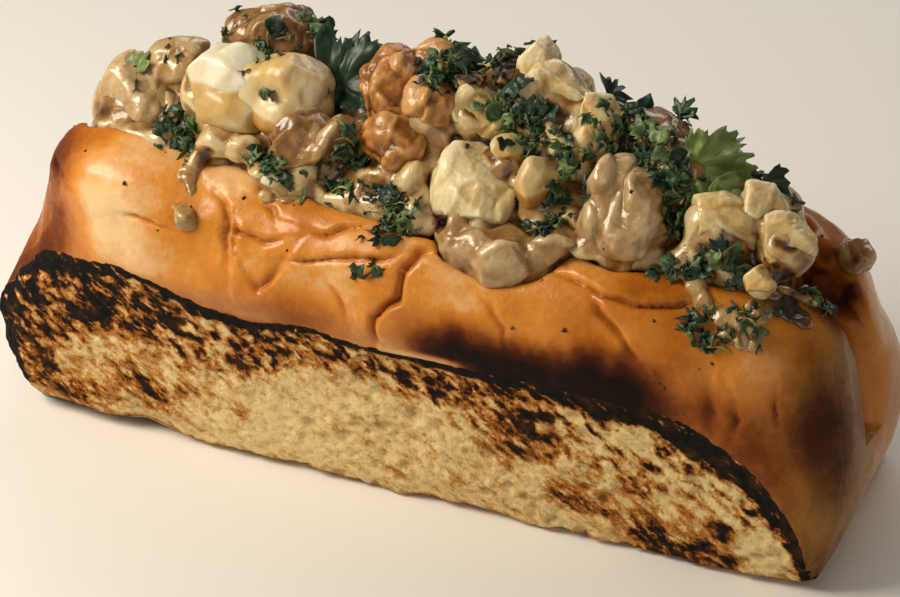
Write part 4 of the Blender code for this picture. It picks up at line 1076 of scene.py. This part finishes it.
# a bent stalk: a closed tube along a short arc
def stalk(name, length, thick, bend):
    sides, parts = 6, 5
    bm = bmesh.new()
    rings = []
    for i in range(parts + 1):
        t = i / parts
        r = thick * (0.75 + 0.25 * math.sin(t * 5 + length / mm))
        along, aside = (t - 0.5) * length, math.sin(t * math.pi) * bend
        rings.append([
            bm.verts.new((along, aside + r * math.cos(a), r * math.sin(a)))
            for a in (k * 2 * math.pi / sides for k in range(sides))])
    for a, b in zip(rings[:-1], rings[1:]):
        for k in range(sides):
            bm.faces.new((a[k], b[k], b[(k + 1) % sides], a[(k + 1) % sides]))
    bm.faces.new(rings[0])
    bm.faces.new(rings[-1])
    bmesh.ops.recalc_face_normals(bm, faces=bm.faces)
    return newPiece(name, meshFrom(bm, name))


def crumbShape(name, seed, size):
    bm = bmesh.new()
    bmesh.ops.create_icosphere(bm, subdivisions=1, radius=size)
    chance = np.random.default_rng(seed)
    for v in bm.verts:
        v.co *= chance.uniform(0.55, 1.2)
        v.co.z *= 0.6
    return newPiece(name, meshFrom(bm, name))


scatter = scatterTree("scatterOnSkin")
leavesPiece = makeLeaves()
dressedSkin = [fillingPiece, runsPiece, bunPiece, *meats.values()]
print("leaves laid:", len(leavesPiece.data.polygons), "faces")

def finished(obj, material, nodes):
    obj.data.shade_smooth()
    obj.data.materials.clear()
    obj.data.materials.append(material)
    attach(obj, "root")
    if nodes:
        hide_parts(*nodes)
    return obj


# each meat's colour and surface, sizes in mm: how large its patches are and how strong, what its crests,
# fibres, low parts and hollows add to or take from the tone, how light it is, colours dark to light,
# roughness and how it varies, size and height of its grain, how much light passes in and how far, and how
# glossy its wet coat is
meatLooks = {
    # poached tail meat under thin mayonnaise: milky, lit from within, amber where the sauce pools
    "white": {"patch": 6, "patchy": 0.3, "crestTone": 0.1, "fibreTone": 0.06, "lowTone": 0.3,
              "hollowShade": 0.25, "lift": 0.56,
              "stops": [(0.0, "#7c5021"), (0.3, "#ae7c36"), (0.52, "#c2a76c"), (0.85, "#ded9c4")],
              "rough": 0.2, "roughVary": 0.3, "grain": 1.2, "bump": 0.18, "glow": 0.6, "glowReach": 3,
              "coat": 0.25},
    # flaked claw meat: fibrous, cream to straw yellow, half wet
    "cream": {"patch": 5, "patchy": 0.6, "crestTone": 0.25, "fibreTone": 0.16, "lowTone": 0.12,
              "hollowShade": 0.4, "lift": 0.28,
              "stops": [(0.0, "#7d5526"), (0.25, "#b08a4c"), (0.5, "#c9b078"), (0.8, "#e0d6b2")],
              "rough": 0.18, "roughVary": 0.3, "grain": 0.8, "bump": 0.26, "glow": 0.6, "glowReach": 2.8,
              "coat": 0.3},
    # butter roasted bits: glossy orange brown, with painted shade in their folds
    "roasted": {"patch": 3.4, "patchy": 1.2, "crestTone": 0.2, "fibreTone": 0.1, "lowTone": 0.1,
                "hollowShade": 0.9, "lift": 0.3,
                "stops": [(0.0, "#2a150a"), (0.25, "#6a3f14"), (0.5, "#9c6428"), (0.8, "#bf9058")],
                "rough": 0.16, "roughVary": 0.3, "grain": 0.9, "bump": 0.3, "glow": 0.4, "glowReach": 2,
                "coat": 0.5},
    # meat under a brown butter mayonnaise: beige, very glossy, small broken highlights
    "coated": {"patch": 4.5, "patchy": 0.7, "crestTone": 0.25, "fibreTone": 0.12, "lowTone": 0.12,
               "hollowShade": 0.6, "lift": 0.32,
               "stops": [(0.0, "#482c13"), (0.25, "#835d33"), (0.5, "#9e7e50"), (0.8, "#c2ab84")],
               "rough": 0.08, "roughVary": 0.22, "grain": 1, "bump": 0.32, "glow": 0.45, "glowReach": 2.2,
               "coat": 0.85},
    # torch charred shell and skin: dry black with tan broken edges
    "charred": {"patch": 2.2, "patchy": 1, "crestTone": 0.3, "fibreTone": 0.2, "lowTone": 0,
                "hollowShade": 0.6, "lift": 0.1,
                "stops": [(0.0, "#0c0908"), (0.42, "#1a110c"), (0.6, "#5a3a1e"), (0.8, "#a88153")],
                "rough": 0.42, "roughVary": 0.3, "grain": 0.5, "bump": 0.2, "glow": 0, "glowReach": 1,
                "coat": 0.15},
    # brown butter mayonnaise over chopped meat: beige in lumps, wetter between them, and darker there with
    # painted shade
    "sauce": {"patch": 4.5, "patchy": 0.7, "crestTone": 0.35, "fibreTone": 0.25, "lowTone": 0,
              "hollowShade": 0.95, "lift": 0.14,
              "stops": [(0.0, "#2a190c"), (0.2, "#603f1e"), (0.42, "#8c6636"), (0.64, "#ab8d5c"),
                        (0.85, "#c7b185")],
              "rough": 0.08, "roughVary": 0.22, "grain": 1, "bump": 0.32, "glow": 0.4, "glowReach": 2,
              "coat": 0.85},
}
singeStops = [(0.3, "#a8692f"), (0.55, "#5b3417"), (0.8, "#191210")]


def meatMaterial(name, look):
    material, tree, shader = newMaterial(name)
    place = addNode(tree, "ShaderNodeTexCoord", output=3)
    crest, fibre, low, burn, valley, own = (
        addNode(tree, "ShaderNodeAttribute", attribute_name=key, output=2)
        for key in ("crest", "fibre", "low", "burn", "valley", "tone"))
    patch, fine, spot, film = (
        addNode(tree, "ShaderNodeTexNoise", {
            "Vector": place, "Scale": 1 / (size * mm), "Detail": 3.0, "Roughness": 0.6})
        for size in (look["patch"], look["grain"], 1.0, 1.6))
    start = look["lift"] - look["patchy"] / 2 + look["hollowShade"] / 2 - 0.5
    tone = addNode(tree, "ShaderNodeMath", [patch, look["patchy"], start], operation="MULTIPLY_ADD")
    # the hollows take painted shade from the tone
    for mask, amount in ((crest, look["crestTone"]), (fibre, look["fibreTone"]), (low, -look["lowTone"]),
                         (valley, -look["hollowShade"]), (own, 1.0)):
        tone = addNode(tree, "ShaderNodeMath", [mask, amount, tone], operation="MULTIPLY_ADD")
    colour = addNode(tree, "ShaderNodeValToRGB", [tone], stops=look["stops"])
    singe = addNode(tree, "ShaderNodeMath", [spot, 0.6, -0.3], operation="MULTIPLY_ADD")
    singe = addNode(tree, "ShaderNodeMath", [burn, singe], operation="ADD")
    singed = addNode(tree, "ShaderNodeValToRGB", [singe], stops=singeStops)
    fade = addNode(tree, "ShaderNodeMapRange", {"Value": singe, "From Min": 0.3, "From Max": 0.5})
    colour = addNode(tree, "ShaderNodeMix", [fade, colour, singed], data_type="RGBA")
    tree.links.new(colour, shader.inputs["Base Color"])
    rough = addNode(tree, "ShaderNodeMath", [
        film, look["roughVary"], look["rough"]], operation="MULTIPLY_ADD")
    tree.links.new(rough, shader.inputs["Roughness"])
    bump = addNode(tree, "ShaderNodeBump", {"Height": fine, "Distance": look["bump"] * mm, "Strength": 0.8})
    tree.links.new(bump, shader.inputs["Normal"])
    setInputs(shader, {
        "IOR": 1.4, "Subsurface Weight": look["glow"], "Subsurface Radius": (1.0, 0.6, 0.32),
        "Subsurface Scale": look["glowReach"] * mm, "Coat Weight": look["coat"], "Coat Roughness": 0.08,
        "Coat IOR": 1.4})
    return material


# fresh cut parsley and its stems are thin and waxy, and light passes a little way in; crumbs are dry
def herbMaterial(name, dark, middle, light, rough, glow):
    material, tree, shader = newMaterial(name)
    place = addNode(tree, "ShaderNodeTexCoord", output=3)
    tone = addNode(tree, "ShaderNodeAttribute", attribute_name="tone", output=2)
    vein = addNode(tree, "ShaderNodeAttribute", attribute_name="vein", output=2)
    patch = addNode(tree, "ShaderNodeTexNoise", {"Vector": place, "Scale": 1 / (1.8 * mm), "Detail": 3.0})
    tone = addNode(tree, "ShaderNodeMath", [patch, 0.5, tone], operation="MULTIPLY_ADD")
    tone = addNode(tree, "ShaderNodeMath", [vein, 0.25, tone], operation="MULTIPLY_ADD")
    tone = addNode(tree, "ShaderNodeMath", [tone, 0.25], operation="SUBTRACT")
    colour = addNode(tree, "ShaderNodeValToRGB", [tone], stops=[(0.0, dark), (1.0, light), (0.5, middle)])
    tree.links.new(colour, shader.inputs["Base Color"])
    setInputs(shader, {
        "Roughness": rough, "IOR": 1.42, "Subsurface Weight": glow, "Subsurface Radius": (0.4, 1.0, 0.25),
        "Subsurface Scale": 0.5 * mm})
    return material


leafFinish = herbMaterial("waxyParsleyLeaf", herb["dark"], herb["green"], herb["light"], 0.42, 0.06)
stemFinish = herbMaterial("wetParsleyStem", stem["dark"], stem["green"], stem["light"], 0.3, 0.4)
crumbFinish = herbMaterial("dryCharredCrumb", crumb["black"], crumb["brown"], crumb["tan"], 0.6, 0.0)

ground = scatterGround("herbGround", dressedSkin, herbSpots, -0.35)
# each bit's size, the turn of its second lobe, how narrow its first lobe is, and its curl
bitShapes = [(1, 0.9, 5, 0.9), (0.75, 1.3, 7, 0.5), (1.2, 0.8, 8, 0.7), (0.6, 1, 4, 1.1), (0.9, 1.8, 6, 0.3),
             (1.35, 0.7, 12, 0.6)]
bits = [
    leafSheet(f"leafBit{k}", 50 + k, herb["bitSize"] * size, 22, 2,
              [(0, 1, narrow), (turn, 0.8, 6), (-0.8, 0.75, 7)], 7, curl, 0.38, herb["bitThick"], 0.38)
    for k, (size, turn, narrow, curl) in enumerate(bitShapes)]
bitsPiece = scattered("parsleyBits", ground, bits, leafFinish, herb)
ground = scatterGround("stemGround", dressedSkin, herbSpots, 0.0)
stems = [stalk(f"stem{k}", length * mm, stem["thick"], bend * mm)
         for k, (length, bend) in enumerate([(3.0, 0.4), (4.2, 0.9), (2.2, 0.1), (5.0, 1.2)])]
stemsPiece = scattered("parsleyStems", ground, stems, stemFinish, stem)
crumbSpots = [(x, y, z, crumb["reach"], crumb["amount"]) for x, y, z in (
    (-60, -15, 50), (-40, -20, 50), (-20, -20, 50), (0, -18, 54), (22, -20, 50), (44, -20, 49), (62, -14, 50),
    (58, -22, 42), (66, -4, 46), (-44, 12, 56), (0, 20, 50), (44, 18, 50), (-58, 0, 60), (10, -6, 68),
    (42, -6, 64))]
ground = scatterGround("crumbGround", dressedSkin, crumbSpots, -0.1)
crumbs = [crumbShape(f"crumb{k}", 70 + k, size * mm) for k, size in enumerate((0.3, 0.42, 0.22, 0.55))]
crumbsPiece = scattered("charredCrumbs", ground, crumbs, crumbFinish, crumb)
for piece in (bitsPiece, stemsPiece, crumbsPiece):
    print(piece.name + ":", len(piece.data.polygons), "faces")

meatFinish = {kind: meatMaterial(kind + "LobsterMeat", look) for kind, look in meatLooks.items()}
finished(bunPiece, bunMaterial(), ["bun"])
finished(fillingPiece, meatFinish["sauce"], ["filling"])
finished(runsPiece, meatFinish["sauce"], [])
for node, piece in meats.items():
    kind = meatPieces[node][0]
    finished(piece, meatFinish[kind], [node])
finished(leavesPiece, leafFinish, [])
finished(bitsPiece, leafFinish, [])
finished(stemsPiece, stemFinish, [])
finished(crumbsPiece, crumbFinish, [])
print("finishes on")

stage = {"floor": "#e8e6e2", "floorHalf": 3.0, "sky": "#f4ede1", "skyStrength": 0.16}
# place and aim in metres, width, height, watts, colour
lights = {
    "key": ((-0.28, -0.17, 0.3), (-0.02, 0, 0.03), 0.2, 0.2, 2.1, "#fff3e0"),
    "fill": ((0.5, -0.6, 0.32), (0.02, 0, 0.04), 0.45, 0.45, 1.15, "#fde9d0"),
    "back": ((-0.05, 0.5, 0.45), (0, 0, 0.04), 0.5, 0.3, 1.4, "#f5f2ee"),
}
view = {"azimuth": 23.0, "elevation": 31.5, "distance": 580 * mm, "lens": 132.3, "right": -0.9875 * mm,
        "up": -2.685 * mm, "aim": 30 * mm}


def makeStage():
    mesh = bpy.data.meshes.new("floor")
    half = stage["floorHalf"]
    corners = [(-half, -half, 0), (half, -half, 0), (half, half, 0), (-half, half, 0)]
    mesh.from_pydata(corners, [], [(0, 1, 2, 3)])
    floor = newPiece("paleFloor", mesh)
    material, _, shader = newMaterial("paleFloor")
    setInputs(shader, {"Base Color": shade(stage["floor"]), "Roughness": 0.7})
    mesh.materials.append(material)
    world = bpy.data.worlds.new("studio")
    bpy.context.scene.world = world
    world.use_nodes = True
    world.node_tree.nodes["Background"].inputs[0].default_value = shade(stage["sky"])
    world.node_tree.nodes["Background"].inputs[1].default_value = stage["skyStrength"]
    bpy.context.scene.view_settings.view_transform = "Standard"


def makeLights():
    for name, (place, aim, width, height, power, colour) in lights.items():
        light = bpy.data.lights.new(name, "AREA")
        light.shape = "RECTANGLE"
        light.size, light.size_y = width, height
        light.energy = power
        light.color = shade(colour)[:3]
        obj = newPiece(name, light)
        obj.location = place
        obj.rotation_euler = (Vector(aim) - Vector(place)).to_track_quat("-Z", "Y").to_euler()


def makeCamera():
    azimuth, elevation = math.radians(view["azimuth"]), math.radians(view["elevation"])
    flat = math.cos(elevation)
    back = Vector((math.sin(azimuth) * flat, -math.cos(azimuth) * flat, math.sin(elevation)))
    camera = bpy.data.cameras.new("camera")
    camera.sensor_width = 36
    camera.lens = view["lens"]
    camera.clip_start = 0.01
    obj = newPiece("camera", camera)
    turn = back.to_track_quat("Z", "Y")
    right, up = turn @ Vector((1, 0, 0)), turn @ Vector((0, 1, 0))
    obj.rotation_euler = turn.to_euler()
    obj.location = Vector((0, 0, view["aim"])) + back * view["distance"]
    obj.location += right * view["right"] + up * view["up"]
    bpy.context.scene.camera = obj


makeStage()
makeLights()
makeCamera()
print("stage, lights and camera in")
